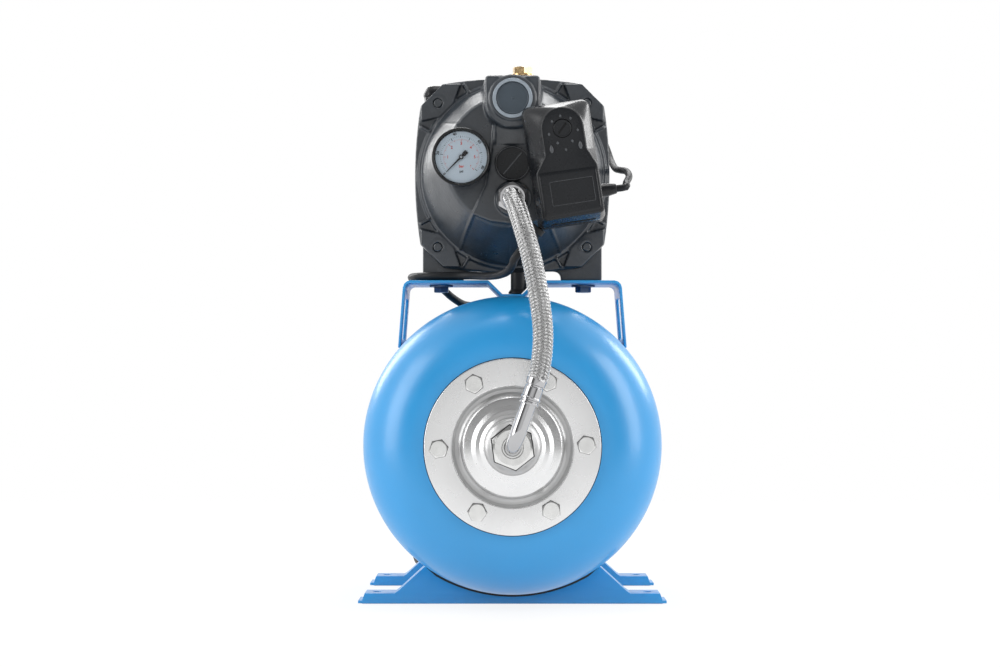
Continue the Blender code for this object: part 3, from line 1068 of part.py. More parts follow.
def make_motor(paints):
    """Finned frame, stator, rotor on its shaft, bearings, end shield, fan and fan cover."""
    axis = (0.0, 0.0, PUMP_AXIS_HEIGHT)
    frame = loft([finned_ring(MOTOR_FRONT), finned_ring(MOTOR_BACK), bore_ring(MOTOR_BACK, MOTOR_BORE_RADIUS),
                  bore_ring(MOTOR_FRONT, MOTOR_BORE_RADIUS)], closed=True)
    add_part("motor_frame", frame, paints["cast"])

    outer = MOTOR_BORE_RADIUS * math.cos(math.radians(6)) - SEAT_GAP
    middle = (MOTOR_FRONT + MOTOR_BACK) / 2
    low = middle - STATOR_LENGTH / 2
    high = middle + STATOR_LENGTH / 2
    coil = outer - 0.006
    ring = [(low - WINDING_LENGTH, STATOR_BORE_RADIUS + 0.004), (low - WINDING_LENGTH, coil), (low, coil),
            (low, outer), (high, outer), (high, coil), (high + WINDING_LENGTH, coil),
            (high + WINDING_LENGTH, STATOR_BORE_RADIUS + 0.004), (high, STATOR_BORE_RADIUS),
            (low, STATOR_BORE_RADIUS)]
    add_part("stator", turned([(y_of(a), r) for a, r in ring], 24, closed=True), paints["steel"], axis)
    bore = SHAFT_RADIUS + SEAT_GAP
    end_ring = 0.006
    core = [(low - end_ring, bore), (low - end_ring, ROTOR_RADIUS - 0.005), (low, ROTOR_RADIUS - 0.003),
            (low, ROTOR_RADIUS), (high, ROTOR_RADIUS), (high, ROTOR_RADIUS - 0.003),
            (high + end_ring, ROTOR_RADIUS - 0.005), (high + end_ring, bore)]
    add_part("rotor_core", turned([(y_of(a), r) for a, r in core], 24, closed=True), paints["steel"], axis)
    shaft = [(SHAFT_NOSE, 0.0), (SHAFT_NOSE, SHAFT_NOSE_RADIUS - 0.001),
             (SHAFT_NOSE + 0.001, SHAFT_NOSE_RADIUS), (SHAFT_STEP, SHAFT_NOSE_RADIUS),
             (SHAFT_STEP, SHAFT_RADIUS), (SHAFT_TAIL, SHAFT_RADIUS), (SHAFT_TAIL, 0.0)]
    add_part("motor_shaft", turned([(y_of(a), r) for a, r in shaft], 16), paints["steel"], axis)

    race = SHAFT_RADIUS + RUNNING_GAP
    rear_bearing = MOTOR_BACK - END_SHIELD_THICKNESS - BEARING_WIDTH / 2
    for name, place in (("front", BEARING_FRONT_PLACE), ("rear", rear_bearing)):
        end = place + BEARING_WIDTH
        chamfer_size = 0.0006
        ring = [(place, race), (place, BEARING_RADIUS - chamfer_size), (place + chamfer_size, BEARING_RADIUS),
                (end - chamfer_size, BEARING_RADIUS), (end, BEARING_RADIUS - chamfer_size), (end, race)]
        add_part(f"bearing_{name}", turned([(y_of(a), r) for a, r in ring], 20, closed=True),
                 paints["steel"], axis)
    seat = BEARING_RADIUS + SEAT_GAP
    hub = seat + 0.005
    shield_front = MOTOR_BACK - END_SHIELD_THICKNESS
    ring = [(rear_bearing, seat), (rear_bearing, hub), (shield_front, hub + 0.004), (shield_front, outer),
            (MOTOR_BACK, outer), (MOTOR_BACK, hub), (rear_bearing + BEARING_WIDTH + 0.003, hub),
            (rear_bearing + BEARING_WIDTH + 0.003, race + 0.002),
            (rear_bearing + BEARING_WIDTH + SEAT_GAP, race + 0.002),
            (rear_bearing + BEARING_WIDTH + SEAT_GAP, seat)]
    add_part("end_shield", turned([(y_of(a), r) for a, r in ring], 20, closed=True), paints["cast"], axis)
    make_fan(paints)
    make_fan_cover(paints)


def make_fan(paints):
    """Cooling fan: a hub with straight blades that stand on a disc."""
    axis = (0.0, 0.0, PUMP_AXIS_HEIGHT)
    bore = SHAFT_RADIUS + SEAT_GAP
    front = SHAFT_TAIL - 0.020
    disc = front + 0.002
    end = SHAFT_TAIL - 0.002
    ring = [(front, bore), (front, FAN_RADIUS - 0.004), (disc, FAN_RADIUS - 0.004), (disc, bore + 0.005),
            (end, bore + 0.004), (end, bore)]
    fan = add_part("cooling_fan", turned([(y_of(a), r) for a, r in ring], 24, closed=True),
                   paints["plastic"], axis)
    for k in range(FAN_BLADES):
        angle = 2 * math.pi * k / FAN_BLADES
        blade = block((bore + 0.002, y_of(disc - 0.001), -0.0010), (FAN_RADIUS, y_of(end - 0.003), 0.0010))
        bmesh.ops.rotate(blade, cent=(0, 0, 0), matrix=Matrix.Rotation(angle, 3, "Y"), verts=blade.verts)
        fuse(fan, f"fan_blade_{k}", blade, axis)


def make_fan_cover(paints):
    """Drawn cup over the fan with radial air slots in its end."""
    axis = (0.0, 0.0, PUMP_AXIS_HEIGHT)
    start = MOTOR_BACK - 0.010
    end = start + FAN_COVER_LENGTH
    outer = FAN_COVER_RADIUS
    inner = outer - FAN_COVER_WALL
    cup = [(start, inner), (start, outer), (end - 0.008, outer), (end - 0.0025, outer - 0.0025),
           (end, outer - 0.009), (end, 0.0)]
    cup += [(end - FAN_COVER_WALL, 0.0), (end - FAN_COVER_WALL, inner - 0.008), (end - 0.009, inner)]
    shell = turned([(y_of(a), r) for a, r in cup], 28, closed=True)
    cover = add_part("fan_cover", shell, paints["cast"], axis)
    slots = []
    for k in range(FAN_COVER_SLOTS):
        slot = block((FAN_SLOT_INNER, y_of(end - 0.006), -FAN_SLOT_WIDTH / 2),
                     (FAN_SLOT_OUTER, y_of(end + 0.004), FAN_SLOT_WIDTH / 2))
        turn = Matrix.Rotation(2 * math.pi * k / FAN_COVER_SLOTS, 3, "Y")
        bmesh.ops.rotate(slot, cent=(0, 0, 0), matrix=turn, verts=slot.verts)
        slots.append(slot)
    cut(cover, "air_slots", gathered("air_slots", slots), axis)


def impeller_vane(start_deg):
    """Backward-curved vane between the eye and the rim, as a flat outline."""
    sweep = math.radians(75)
    steps = 5
    near = []
    far = []
    for step in range(steps + 1):
        share = step / steps
        radius = IMPELLER_EYE_RADIUS + (IMPELLER_RADIUS - 0.001 - IMPELLER_EYE_RADIUS) * share
        angle = math.radians(start_deg) - sweep * share ** 0.8
        for side, points in ((1, near), (-1, far)):
            offset = side * VANE_THICKNESS / 2 / radius
            points.append((radius * math.cos(angle + offset), radius * math.sin(angle + offset)))
    return near + far[::-1]


def make_hydraulics(paints):
    """Closed impeller, the diffuser round it with the ejector moulded on, and the shaft seal."""
    axis = (0.0, 0.0, PUMP_AXIS_HEIGHT)
    back = IMPELLER_BACK
    disc = back - IMPELLER_SHROUD
    rim = disc - IMPELLER_WIDTH
    bore = SHAFT_NOSE_RADIUS + SEAT_GAP
    hub = bore + 0.0045
    ring = [(disc, bore), (disc, IMPELLER_RADIUS), (back, IMPELLER_RADIUS), (back, bore)]
    plate = turned([(y_of(a), r) for a, r in ring], 20, closed=True)
    wheel = add_part("impeller", plate, paints["brass"], axis)
    boss = [(rim, bore), (rim, hub), (disc + 0.001, hub + 0.002), (disc + 0.001, bore)]
    fuse(wheel, "impeller_hub", turned([(y_of(a), r) for a, r in boss], 16, closed=True), axis)
    for k in range(IMPELLER_VANES):
        vane = prism(impeller_vane(360 * k / IMPELLER_VANES), y_of(rim - 0.001), y_of(disc + 0.001))
        fuse(wheel, f"vane_{k}", vane, axis)
    eye = IMPELLER_EYE_RADIUS
    front = [(rim, IMPELLER_RADIUS), (rim, eye), (rim - 0.0045, eye - 0.003), (rim - 0.0045, eye - 0.0005),
             (rim - IMPELLER_SHROUD, eye + 0.002), (rim - IMPELLER_SHROUD, IMPELLER_RADIUS)]
    fuse(wheel, "front_shroud", turned([(y_of(a), r) for a, r in front], 20, closed=True), axis)

    inner = IMPELLER_RADIUS + 0.0025
    plate = DIFFUSER_FRONT + DIFFUSER_WALL
    lip = CASING_BACK
    ring = [(DIFFUSER_FRONT, eye + 0.0025), (DIFFUSER_FRONT, DIFFUSER_RADIUS), (lip, DIFFUSER_RADIUS),
            (lip, DIFFUSER_RADIUS - DIFFUSER_WALL), (plate, DIFFUSER_RADIUS - DIFFUSER_WALL),
            (plate, eye + 0.0025)]
    diffuser = add_part("diffuser", turned([(y_of(a), r) for a, r in ring], 20, closed=True),
                        paints["plastic"], axis)
    for k in range(DIFFUSER_VANES):
        outline = [(inner, -0.001), (DIFFUSER_RADIUS - 0.001, 0.003), (DIFFUSER_RADIUS - 0.001, 0.006),
                   (inner, 0.001)]
        guide = prism(outline, y_of(plate - 0.001), y_of(disc))
        bmesh.ops.rotate(guide, cent=(0, 0, 0), verts=guide.verts,
                         matrix=Matrix.Rotation(2 * math.pi * k / DIFFUSER_VANES, 3, "Y"))
        fuse(diffuser, f"guide_vane_{k}", guide, axis)

    seat = plate - 0.001
    tube = [(seat - 0.034, 0.0075), (seat - 0.034, 0.0105), (seat - 0.006, 0.0120), (seat - 0.006, 0.026),
            (seat, 0.026), (seat, 0.0125), (seat - 0.018, 0.0055), (seat - 0.026, 0.0055)]
    fuse(diffuser, "ejector", turned([(y_of(a), r) for a, r in tube], 24, closed=True), axis)

    start = BRACKET_FRONT + SEAT_GAP
    ring = [(start, SHAFT_NOSE_RADIUS + 0.0015), (start, SEAL_SEAT_RADIUS),
            (BRACKET_FRONT + SEAL_SEAT_WIDTH - SEAT_GAP, SEAL_SEAT_RADIUS),
            (BRACKET_FRONT + SEAL_SEAT_WIDTH - SEAT_GAP, SHAFT_NOSE_RADIUS + 0.0015)]
    add_part("seal_seat", turned([(y_of(a), r) for a, r in ring], 20, closed=True), paints["ceramic"], axis)
    low = back + SEAT_GAP
    end = start - 0.0006
    ring = [(low, bore), (low, 0.0115), (low + 0.010, 0.0115), (low + 0.010, 0.0095), (end, 0.0095),
            (end, bore)]
    add_part("seal_ring", turned([(y_of(a), r) for a, r in ring], 16, closed=True), paints["steel"], axis)


def make_terminal_box(paints):
    """Box saddled on the frame's fins, its lid and the gland for the switch lead."""
    low = y_of(TERMINAL_PLACE)
    high = y_of(TERMINAL_PLACE + TERMINAL_LENGTH)

    def level(height, inset):
        corners = [(TERMINAL_LEFT + inset, low + inset), (TERMINAL_RIGHT - inset, low + inset),
                   (TERMINAL_RIGHT - inset, high - inset), (TERMINAL_LEFT + inset, high - inset)]
        return in_space(rounded(corners, TERMINAL_CORNER - inset, 3), height, "Z")

    body = loft([level(TERMINAL_BASE_HEIGHT, 0.003), level(TERMINAL_SEAM_HEIGHT, 0.0)])
    base = add_part("terminal_box", body, paints["plastic"])
    saddle = prism(circle(MOTOR_FIN_RADIUS + SEAT_GAP, 90), low - 0.01, high + 0.01)
    cut(base, "terminal_saddle", saddle, (0.0, 0.0, PUMP_AXIS_HEIGHT))
    seam = TERMINAL_SEAM_HEIGHT + SEAT_GAP
    lid = loft([level(seam, -0.0008), level(seam + 0.003, -0.0006),
                level(TERMINAL_TOP - 0.003, TERMINAL_DRAFT * 0.4), level(TERMINAL_TOP, TERMINAL_DRAFT)])
    add_part("terminal_box_lid", lid, paints["plastic"])
    reach = TERMINAL_GLAND_REACH
    profile = [(-0.004, 0.0), (-0.004, GLAND_RADIUS), (0.005, GLAND_RADIUS), (0.0055, GLAND_RADIUS - 0.0015),
               (reach - 0.001, GLAND_RADIUS - 0.0018), (reach, GLAND_RADIUS - 0.003), (reach, 0.0)]
    fuse(base, "terminal_gland", turned(profile, 16, "X"),
         (TERMINAL_RIGHT, y_of(TERMINAL_GLAND_PLACE), TERMINAL_GLAND_HEIGHT))


def make_support_foot(paints):
    """Stub that props the casing on the platform's trough."""
    low = TANK_TOP + PLATFORM_SHEET + SEAT_GAP * 3
    high = PUMP_AXIS_HEIGHT - CASING_FLANGE_HALF - CASING_FLANGE_BULGE - SEAT_GAP
    profile = [(low, 0.0), (low, STUB_BASE_RADIUS), (low + 0.0015, STUB_BASE_RADIUS),
               (low + STUB_BASE_HEIGHT, STUB_RADIUS), (high, STUB_RADIUS), (high, 0.0)]
    spot = (STUB_X, y_of(STUB_PLACE), 0.0)
    foot = add_part("support_foot", turned(profile, 20, "Z"), paints["rubber"], spot)
    run = Vector((TROUGH_TOP_HALF - TROUGH_FLOOR_HALF, PLATFORM_RISE - PLATFORM_SHEET)).normalized()
    inward = Vector((-run.y, run.x)) * (PLATFORM_SHEET / 2 + 2 * SEAT_GAP)
    bottom = Vector((TROUGH_FLOOR_HALF, low - PLATFORM_SHEET / 2)) + inward - run * 0.004
    above = bottom + run * 0.030
    slope = [tuple(bottom), (0.04, bottom.y), (0.04, above.y), tuple(above)]
    reach = 0.012
    cut(foot, "trough_side", prism(slope, y_of(STUB_PLACE - reach), y_of(STUB_PLACE + reach)))


def make_gauge(paints):
    """Case with its stem, dial, glass and the needle on its pin."""
    place = (GAUGE_X, y_of(GAUGE_FACE_PLACE), GAUGE_HEIGHT)
    inner = GAUGE_RADIUS - GAUGE_BEZEL
    back = GAUGE_DEPTH
    stem_end = BELL_FACE + GAUGE_STEM_INTO - GAUGE_FACE_PLACE
    seat = 0.0016
    pivot = 0.0016
    case = [(-GAUGE_LIP, inner + 0.0008), (-GAUGE_LIP, GAUGE_RADIUS - 0.001),
            (-GAUGE_LIP + 0.001, GAUGE_RADIUS), (0.0015, GAUGE_RADIUS), (0.003, GAUGE_RADIUS - 0.0012),
            (back - 0.0025, GAUGE_RADIUS - 0.0012),
            (back, GAUGE_RADIUS - 0.0040), (back, GAUGE_STEM_RADIUS), (stem_end, GAUGE_STEM_RADIUS),
            (stem_end, pivot), (seat, pivot), (seat, inner)]
    add_part("gauge_case", turned(case, 24, closed=True), paints["plastic"], place)
    disc = inner - SEAT_GAP
    dial = [(0.0, pivot), (0.0, disc), (seat - SEAT_GAP, disc), (seat - SEAT_GAP, pivot)]
    add_part("gauge_dial", turned(dial, 24, closed=True), paints["dial"], place)
    glass_back = -GAUGE_LIP + 0.0017
    glass_front = glass_back - 0.0011
    glass = [(glass_front, 0.0), (glass_front, disc), (glass_back, disc), (glass_back, 0.0)]
    add_part("gauge_glass", turned(glass, 24), paints["glass"], place)
    hub = 0.0021
    width = 0.0007
    pointer = [(NEEDLE_REACH, 0.0), (hub, width), (0.0012, hub * 0.9), (-0.0012, hub * 0.9),
               (-hub, width * 1.6),
               (-NEEDLE_TAIL, width * 1.8), (-NEEDLE_TAIL, -width * 1.8), (-hub, -width * 1.6),
               (-0.0012, -hub * 0.9), (0.0012, -hub * 0.9), (hub, -width)]
    face = -0.0011
    needle = prism(pointer, face, face + 0.0006)
    item = add_part("gauge_needle", needle, paints["needle"], place)
    fuse_pin = prism(circle(0.0009, 10), face + 0.0003, 0.004)
    fuse(item, "needle_pin", fuse_pin, place)
    item.rotation_euler = (0.0, -math.radians(NEEDLE_REST_DEG), 0.0)


def switch_outline(front):
    """Eight-cornered outline in the switch's own frame: its base, or its keyhole-shaped front."""
    if front:
        left = SWITCH_KEYHOLE_X - KEYHOLE_RADIUS
        right = SWITCH_KEYHOLE_X + KEYHOLE_RADIUS
        top = SWITCH_KEYHOLE_UP + KEYHOLE_RADIUS
        corners = SWITCH_FRONT_LOW + [SWITCH_FRONT_NECK[0], (right, top), (left, top)] + SWITCH_FRONT_NECK[1:]
        round_top = KEYHOLE_RADIUS * 0.99
        return rounded(corners, [0.004, 0.004, 0.005, 0.005, round_top, round_top, 0.005, 0.005], 5)
    half = SWITCH_HALF_WIDTH
    tall = SWITCH_HALF_HEIGHT
    corners = [(-half, -tall), (half, -tall), (half, -0.004), (half, 0.012), (half, tall), (-half, tall),
               (-half, 0.012), (-half, -0.004)]
    return rounded(corners, [0.006, 0.006, 0.001, 0.001, 0.007, 0.007, 0.001, 0.001], 5)


def grown(outline, factor):
    return [(a * factor, b * factor) for a, b in outline]


def make_switch(paints):
    """Pressure switch turned a little on its nipple: base, cover and adjusting screw."""
    mount = bpy.data.objects.new("switch_mount", None)
    bpy.context.scene.collection.objects.link(mount)
    mount.location = (SWITCH_X, y_of(0.0), SWITCH_HEIGHT)
    mount.rotation_euler = (0.0, -math.radians(SWITCH_TILT_DEG), 0.0)
    back = SWITCH_BASE_PLACE
    seam = back - SWITCH_BASE_THICKNESS
    front = SWITCH_FRONT_PLACE
    plain = switch_outline(False)
    keyhole = switch_outline(True)
    base = add_part("switch_base", loft([in_space(grown(plain, 0.96), back, "Y"),
                                         in_space(grown(plain, 0.985), back - 0.003, "Y"),
                                         in_space(grown(plain, 0.985), seam, "Y")]), paints["plastic"])
    shell = SWITCH_SHELL
    lid = seam - SEAT_GAP
    slope = front + 0.019
    outside = [in_space(plain, lid, "Y"), in_space(grown(plain, 0.985), slope, "Y"),
               in_space(grown(keyhole, 1.03), front + 0.003, "Y"), in_space(keyhole, front, "Y")]
    inside = [in_space(grown(keyhole, 0.86), front + shell, "Y"),
              in_space(grown(plain, 0.84), slope + shell, "Y"), in_space(grown(plain, 0.90), lid, "Y")]
    cover = add_part("switch_cover", loft(outside + inside, closed=True), paints["plastic"], smooth_deg=28.0)
    screw_spot = (SWITCH_KEYHOLE_X, 0.0, SWITCH_KEYHOLE_UP)
    pocket = SWITCH_SCREW_RADIUS + RUNNING_GAP
    cut(cover, "screw_pocket", prism(circle(pocket, 24), front - 0.003, front + 0.006), screw_spot)
    head = [(front - 0.0004, 0.0), (front - 0.0004, SWITCH_SCREW_RADIUS - 0.0006),
            (front + 0.0002, SWITCH_SCREW_RADIUS), (front + 0.0045, SWITCH_SCREW_RADIUS),
            (front + 0.0045, 0.0030), (seam - SEAT_GAP, 0.0030), (seam - SEAT_GAP, 0.0)]
    screw = add_part("switch_screw", turned(head, 16), paints["plastic"], screw_spot)
    slot = block((-SWITCH_SCREW_RADIUS * 0.8, front - 0.002, -SWITCH_SCREW_SLOT / 2),
                 (SWITCH_SCREW_RADIUS * 0.8, front + 0.0022, SWITCH_SCREW_SLOT / 2))
    turn = Matrix.Rotation(math.radians(SWITCH_SCREW_TURN_DEG), 3, "Y")
    bmesh.ops.rotate(slot, cent=(0, 0, 0), matrix=turn, verts=slot.verts)
    cut(screw, "screw_slot", slot, screw_spot)
    middle = back - SWITCH_BASE_THICKNESS / 2
    reach = SWITCH_GLAND_REACH
    gland = [(-0.003, 0.0), (-0.003, SWITCH_GLAND_RADIUS), (0.005, SWITCH_GLAND_RADIUS),
             (reach, SWITCH_LEAD_RADIUS + 0.0012), (reach, 0.0)]
    fuse(base, "switch_gland", turned(gland, 16, "X"), (SWITCH_HALF_WIDTH * 0.985, middle, SWITCH_GLAND_UP))
    tools = [bpy.data.objects[name] for name in ("screw_pocket", "screw_slot", "switch_gland")]
    for item in [base, cover, screw] + tools:
        item.parent = mount
    collar_back = BELL_FACE - PORT_PAD_PROUD - SEAT_GAP
    collar_front = back + SEAT_GAP
    nipple = [(collar_front, 0.0), (collar_front, SWITCH_NIPPLE_RADIUS + 0.0030),
              (collar_back, SWITCH_NIPPLE_RADIUS + 0.0030), (collar_back, SWITCH_NIPPLE_RADIUS),
              (BELL_FACE + 0.008, SWITCH_NIPPLE_RADIUS), (BELL_FACE + 0.008, 0.0)]
    add_part("switch_nipple", turned([(y_of(a), r) for a, r in nipple], 20), paints["brass"],
             (SWITCH_NIPPLE_X, 0.0, SWITCH_NIPPLE_HEIGHT))


def elbow_route():
    """Centreline of the chrome elbow: out of the flange, round the bend and up along the lean."""
    lean = math.radians(ELBOW_LEAN_DEG)
    up = Vector((math.sin(lean), 0.0, math.cos(lean)))
    start = FLANGE_FRONT - FLANGE_HUB_HEIGHT - ELBOW_NUT_DEPTH - 2 * SEAT_GAP
    centre = Vector((0.0, y_of(HOSE_PLANE + ELBOW_BEND_RADIUS), TANK_AXIS_HEIGHT)) + up * ELBOW_BEND_RADIUS
    points = [Vector((0.0, y_of(start), TANK_AXIS_HEIGHT))]
    steps = 6
    for step in range(steps + 1):
        turn = math.pi / 2 * step / steps
        offset = Vector((0.0, -math.sin(turn), 0.0)) - up * math.cos(turn)
        points.append(centre + offset * ELBOW_BEND_RADIUS)
    if (points[1] - points[0]).length < 0.001:
        points.pop(0)
    points.append(points[-1] + up * (ELBOW_REACH - ELBOW_BEND_RADIUS))
    return points, up


def aim(item, direction, along="Z"):
    item.rotation_mode = "QUATERNION"
    item.rotation_quaternion = Vector(direction).to_track_quat(along, "Y")


def make_hose_set(paints):
    """Elbow nut, elbow, ferrule, braided hose and the nut at the casing's port."""
    axis = (0.0, y_of(FLANGE_FRONT - FLANGE_HUB_HEIGHT) - SEAT_GAP, TANK_AXIS_HEIGHT)
    nut = hex_bolt_mesh(ELBOW_NUT_ACROSS_FLATS, ELBOW_NUT_DEPTH, ELBOW_TUBE_RADIUS - 0.0019, 0.012)
    item = add_part("elbow_nut", nut, paints["zinc"], axis)
    item.rotation_euler = (math.pi / 2, math.radians(8), 0.0)
    route, up = elbow_route()
    add_tube("hose_elbow", route, ELBOW_TUBE_RADIUS, paints["chrome"], 3)
    seat = route[-1] + up * SEAT_GAP
    profile = [(0.0, 0.0), (0.0, FERRULE_RADIUS - 0.0015), (0.0012, FERRULE_RADIUS), (0.0040, FERRULE_RADIUS),
               (0.0050, FERRULE_RADIUS - 0.0012), (0.0075, FERRULE_RADIUS - 0.0012), (0.0085, FERRULE_RADIUS),
               (FERRULE_LENGTH - 0.001, FERRULE_RADIUS), (FERRULE_LENGTH, FERRULE_RADIUS - 0.0008),
               (FERRULE_LENGTH, 0.0)]
    ferrule = add_part("hose_ferrule", turned(profile, 16, "Z"), paints["chrome"], seat)
    aim(ferrule, up)
    nut_seat = y_of(HOSE_PORT_FRONT) - SEAT_GAP
    nut = hex_bolt_mesh(HOSE_NUT_ACROSS_FLATS, HOSE_NUT_DEPTH, HOSE_PORT_BORE_RADIUS - SEAT_GAP, 0.010)
    item = add_part("hose_nut", nut, paints["chrome"], (0.0, nut_seat, HOSE_PORT_HEIGHT))
    item.rotation_euler = (math.pi / 2, 0.0, 0.0)
    start = seat + up * (FERRULE_LENGTH + SEAT_GAP)
    port = Vector((0.0, nut_seat - HOSE_NUT_DEPTH - SEAT_GAP, HOSE_PORT_HEIGHT))
    plane = y_of(HOSE_PLANE)
    route = [(x, plane + reach, HOSE_PORT_HEIGHT + rise) for x, reach, rise in HOSE_ROUTE]
    points = held_route(start, up, route, port, Vector((0.0, 1.0, 0.0)), 0.012)
    add_tube("braided_hose", points, HOSE_RADIUS, paints["chrome"], 3)


def make_leads(paints):
    """Switch lead between its glands, and the mains lead with its coil and plug."""
    mount = Matrix.Translation((SWITCH_X, y_of(0.0), SWITCH_HEIGHT))
    mount = mount @ Matrix.Rotation(-math.radians(SWITCH_TILT_DEG), 4, "Y")
    middle = SWITCH_BASE_PLACE - SWITCH_BASE_THICKNESS / 2
    tip = SWITCH_HALF_WIDTH * 0.985 + SWITCH_GLAND_REACH + 2 * SEAT_GAP
    start = mount @ Vector((tip, middle, SWITCH_GLAND_UP))
    ahead = mount.to_3x3() @ Vector((1.0, 0.0, 0.0))
    gland = TERMINAL_RIGHT + TERMINAL_GLAND_REACH + 2 * SEAT_GAP
    end = Vector((gland, y_of(TERMINAL_GLAND_PLACE), TERMINAL_GLAND_HEIGHT))
    route = [(x, y_of(place), PUMP_AXIS_HEIGHT + rise) for x, place, rise in SWITCH_LEAD_ROUTE]
    points = held_route(start, ahead, route, end, Vector((-1.0, 0.0, 0.0)), 0.013)
    add_tube("switch_lead", points, SWITCH_LEAD_RADIUS, paints["rubber"])

    exit_point = Vector(MAINS_EXIT) + Vector((0.0, y_of(0.0), PUMP_AXIS_HEIGHT))
    heading = Vector(MAINS_HEADING).normalized()
    profile = [(0.0, 0.0), (0.0, MAINS_RADIUS + 0.0030), (0.004, MAINS_RADIUS + 0.0030),
               (0.005, MAINS_RADIUS + 0.0020), (MAINS_RELIEF, MAINS_RADIUS + 0.0006), (MAINS_RELIEF, 0.0)]
    relief = add_part("mains_relief", turned(profile, 16, "Z"), paints["rubber"], exit_point)
    aim(relief, heading)
    first = exit_point + heading * (MAINS_RELIEF + SEAT_GAP)
    rear = y_of(TANK_CYLINDER_LENGTH)
    route = [Vector((x, y_of(place), PLATFORM_TOP + rise)) for x, place, rise in MAINS_ON_PLATFORM]
    route += [Vector((x, y_of(place), TANK_TOP + rise)) for x, place, rise in MAINS_ON_TANK]
    route += [Vector((x, rear + reach, TANK_TOP * share)) for x, reach, share in MAINS_BEHIND_TANK]
    route += [Vector((x, rear + reach, height)) for x, reach, height in MAINS_ONTO_COIL]
    last = (route[-1] - route[-2]).normalized()
    points = held_route(first, heading, route[:-1], route[-1], last, 0.016)
    add_tube("mains_lead", points, MAINS_RADIUS, paints["rubber"])

    low = MAINS_COIL_RADIUS - MAINS_RADIUS
    high = MAINS_COIL_RADIUS + MAINS_RADIUS
    tall = 2 * MAINS_RADIUS * MAINS_COIL_LAYERS
    ring = [(0.0, low), (0.0, high), (tall, high), (tall, low)]
    add_part("mains_coil", turned(ring, 28, "Z", closed=True), paints["rubber"],
             (MAINS_COIL_X, y_of(MAINS_COIL_PLACE), 0.0))
    tail = [(x, rear + reach, height) for x, reach, height in MAINS_TAIL]
    add_tube("mains_tail", smooth_route(tail, 0.009), MAINS_RADIUS, paints["rubber"])
    last = Vector(tail[-1])
    ahead = (last - Vector(tail[-2])).normalized()
    ahead.z = 0.0
    ahead.normalize()
    neck = 0.014
    end = neck + PLUG_BODY_LENGTH
    profile = [(0.0, 0.0), (0.0, MAINS_RADIUS + 0.0010), (neck, MAINS_RADIUS + 0.0030), (neck, 0.0125),
               (neck + 0.003, 0.0150), (end - 0.012, PLUG_BODY_RADIUS - 0.001),
               (end - 0.010, PLUG_BODY_RADIUS), (end, PLUG_BODY_RADIUS), (end, 0.0)]
    plug = add_part("mains_plug", turned(profile, 24, "Z"), paints["rubber"], last + ahead * SEAT_GAP)
    pins = []
    for k, side in enumerate((-1, 1)):
        pin = prism(shifted(circle(PLUG_PIN_RADIUS, 12), side * PLUG_PIN_SPACING / 2, 0.0), end - 0.002,
                    end + PLUG_PIN_LENGTH, "Z")
        fuse(plug, f"plug_pin_{k}", pin, last + ahead * SEAT_GAP)
        pins.append(bpy.data.objects[f"plug_pin_{k}"])
    for item in [plug] + pins:
        aim(item, ahead)


def main():
    remove_old_objects()
    paints = {
        "blue": paint("blue_paint", (0.045, 0.30, 0.68), 0.35),
        "cast": paint("black_cast_paint", (0.035, 0.040, 0.048), 0.45),
        "zinc": paint("bright_steel", (0.62, 0.62, 0.61), 0.30, 1.0),
        "steel": paint("motor_steel", (0.42, 0.42, 0.43), 0.40, 1.0),
        "chrome": paint("chrome", (0.78, 0.78, 0.78), 0.15, 1.0),
        "brass": paint("brass", (0.72, 0.52, 0.22), 0.30, 1.0),
        "plastic": paint("dark_plastic", (0.040, 0.042, 0.046), 0.50),
        "rubber": paint("black_rubber", (0.020, 0.020, 0.022), 0.65),
        "dial": paint("dial_white", (0.80, 0.82, 0.82), 0.50),
        "needle": paint("needle_black", (0.02, 0.02, 0.02), 0.40),
        "glass": paint("gauge_glass", (0.90, 0.93, 0.95), 0.05),
        "ceramic": paint("seal_ceramic", (0.78, 0.74, 0.66), 0.35),
    }
    make_tank(paints)
    make_foot("foot_front", FRONT_FOOT_PLACE, paints["blue"])
    make_foot("foot_rear", REAR_FOOT_PLACE, paints["blue"])
    make_platform(paints)
    make_casing(paints)
    make_bracket(paints)
    make_motor(paints)
    make_hydraulics(paints)
    make_terminal_box(paints)
    make_support_foot(paints)
    make_gauge(paints)
    make_switch(paints)
    make_hose_set(paints)
    make_leads(paints)


main()
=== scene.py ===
"""Visual model of a booster pump set: a pressure tank on feet with a pump, gauge, switch and hose.

Lengths are in millimetres. A place is measured along Y from the tank's front rim, as in the solids.
The profile of a turned piece is a list of (along, radius). A piece named NODE_shown stands for NODE.
"""
import math

import bmesh
import bpy
from mathutils import Matrix, Vector


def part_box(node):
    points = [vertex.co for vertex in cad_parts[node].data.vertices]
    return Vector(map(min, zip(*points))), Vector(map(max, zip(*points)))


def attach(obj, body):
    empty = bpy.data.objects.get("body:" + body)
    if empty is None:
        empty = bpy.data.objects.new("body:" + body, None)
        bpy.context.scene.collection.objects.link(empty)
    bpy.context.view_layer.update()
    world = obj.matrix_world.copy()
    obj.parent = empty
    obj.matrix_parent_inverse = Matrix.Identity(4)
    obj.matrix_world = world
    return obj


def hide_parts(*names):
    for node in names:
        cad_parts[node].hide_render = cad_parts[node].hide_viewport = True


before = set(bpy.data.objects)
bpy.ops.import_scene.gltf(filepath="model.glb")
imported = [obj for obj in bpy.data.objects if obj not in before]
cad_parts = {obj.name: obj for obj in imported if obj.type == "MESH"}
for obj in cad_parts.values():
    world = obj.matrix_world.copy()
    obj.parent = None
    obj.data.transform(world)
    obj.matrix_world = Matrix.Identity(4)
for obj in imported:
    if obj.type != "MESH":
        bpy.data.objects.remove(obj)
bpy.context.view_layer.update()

MM = 0.001
DOME_FRONT = 57.7
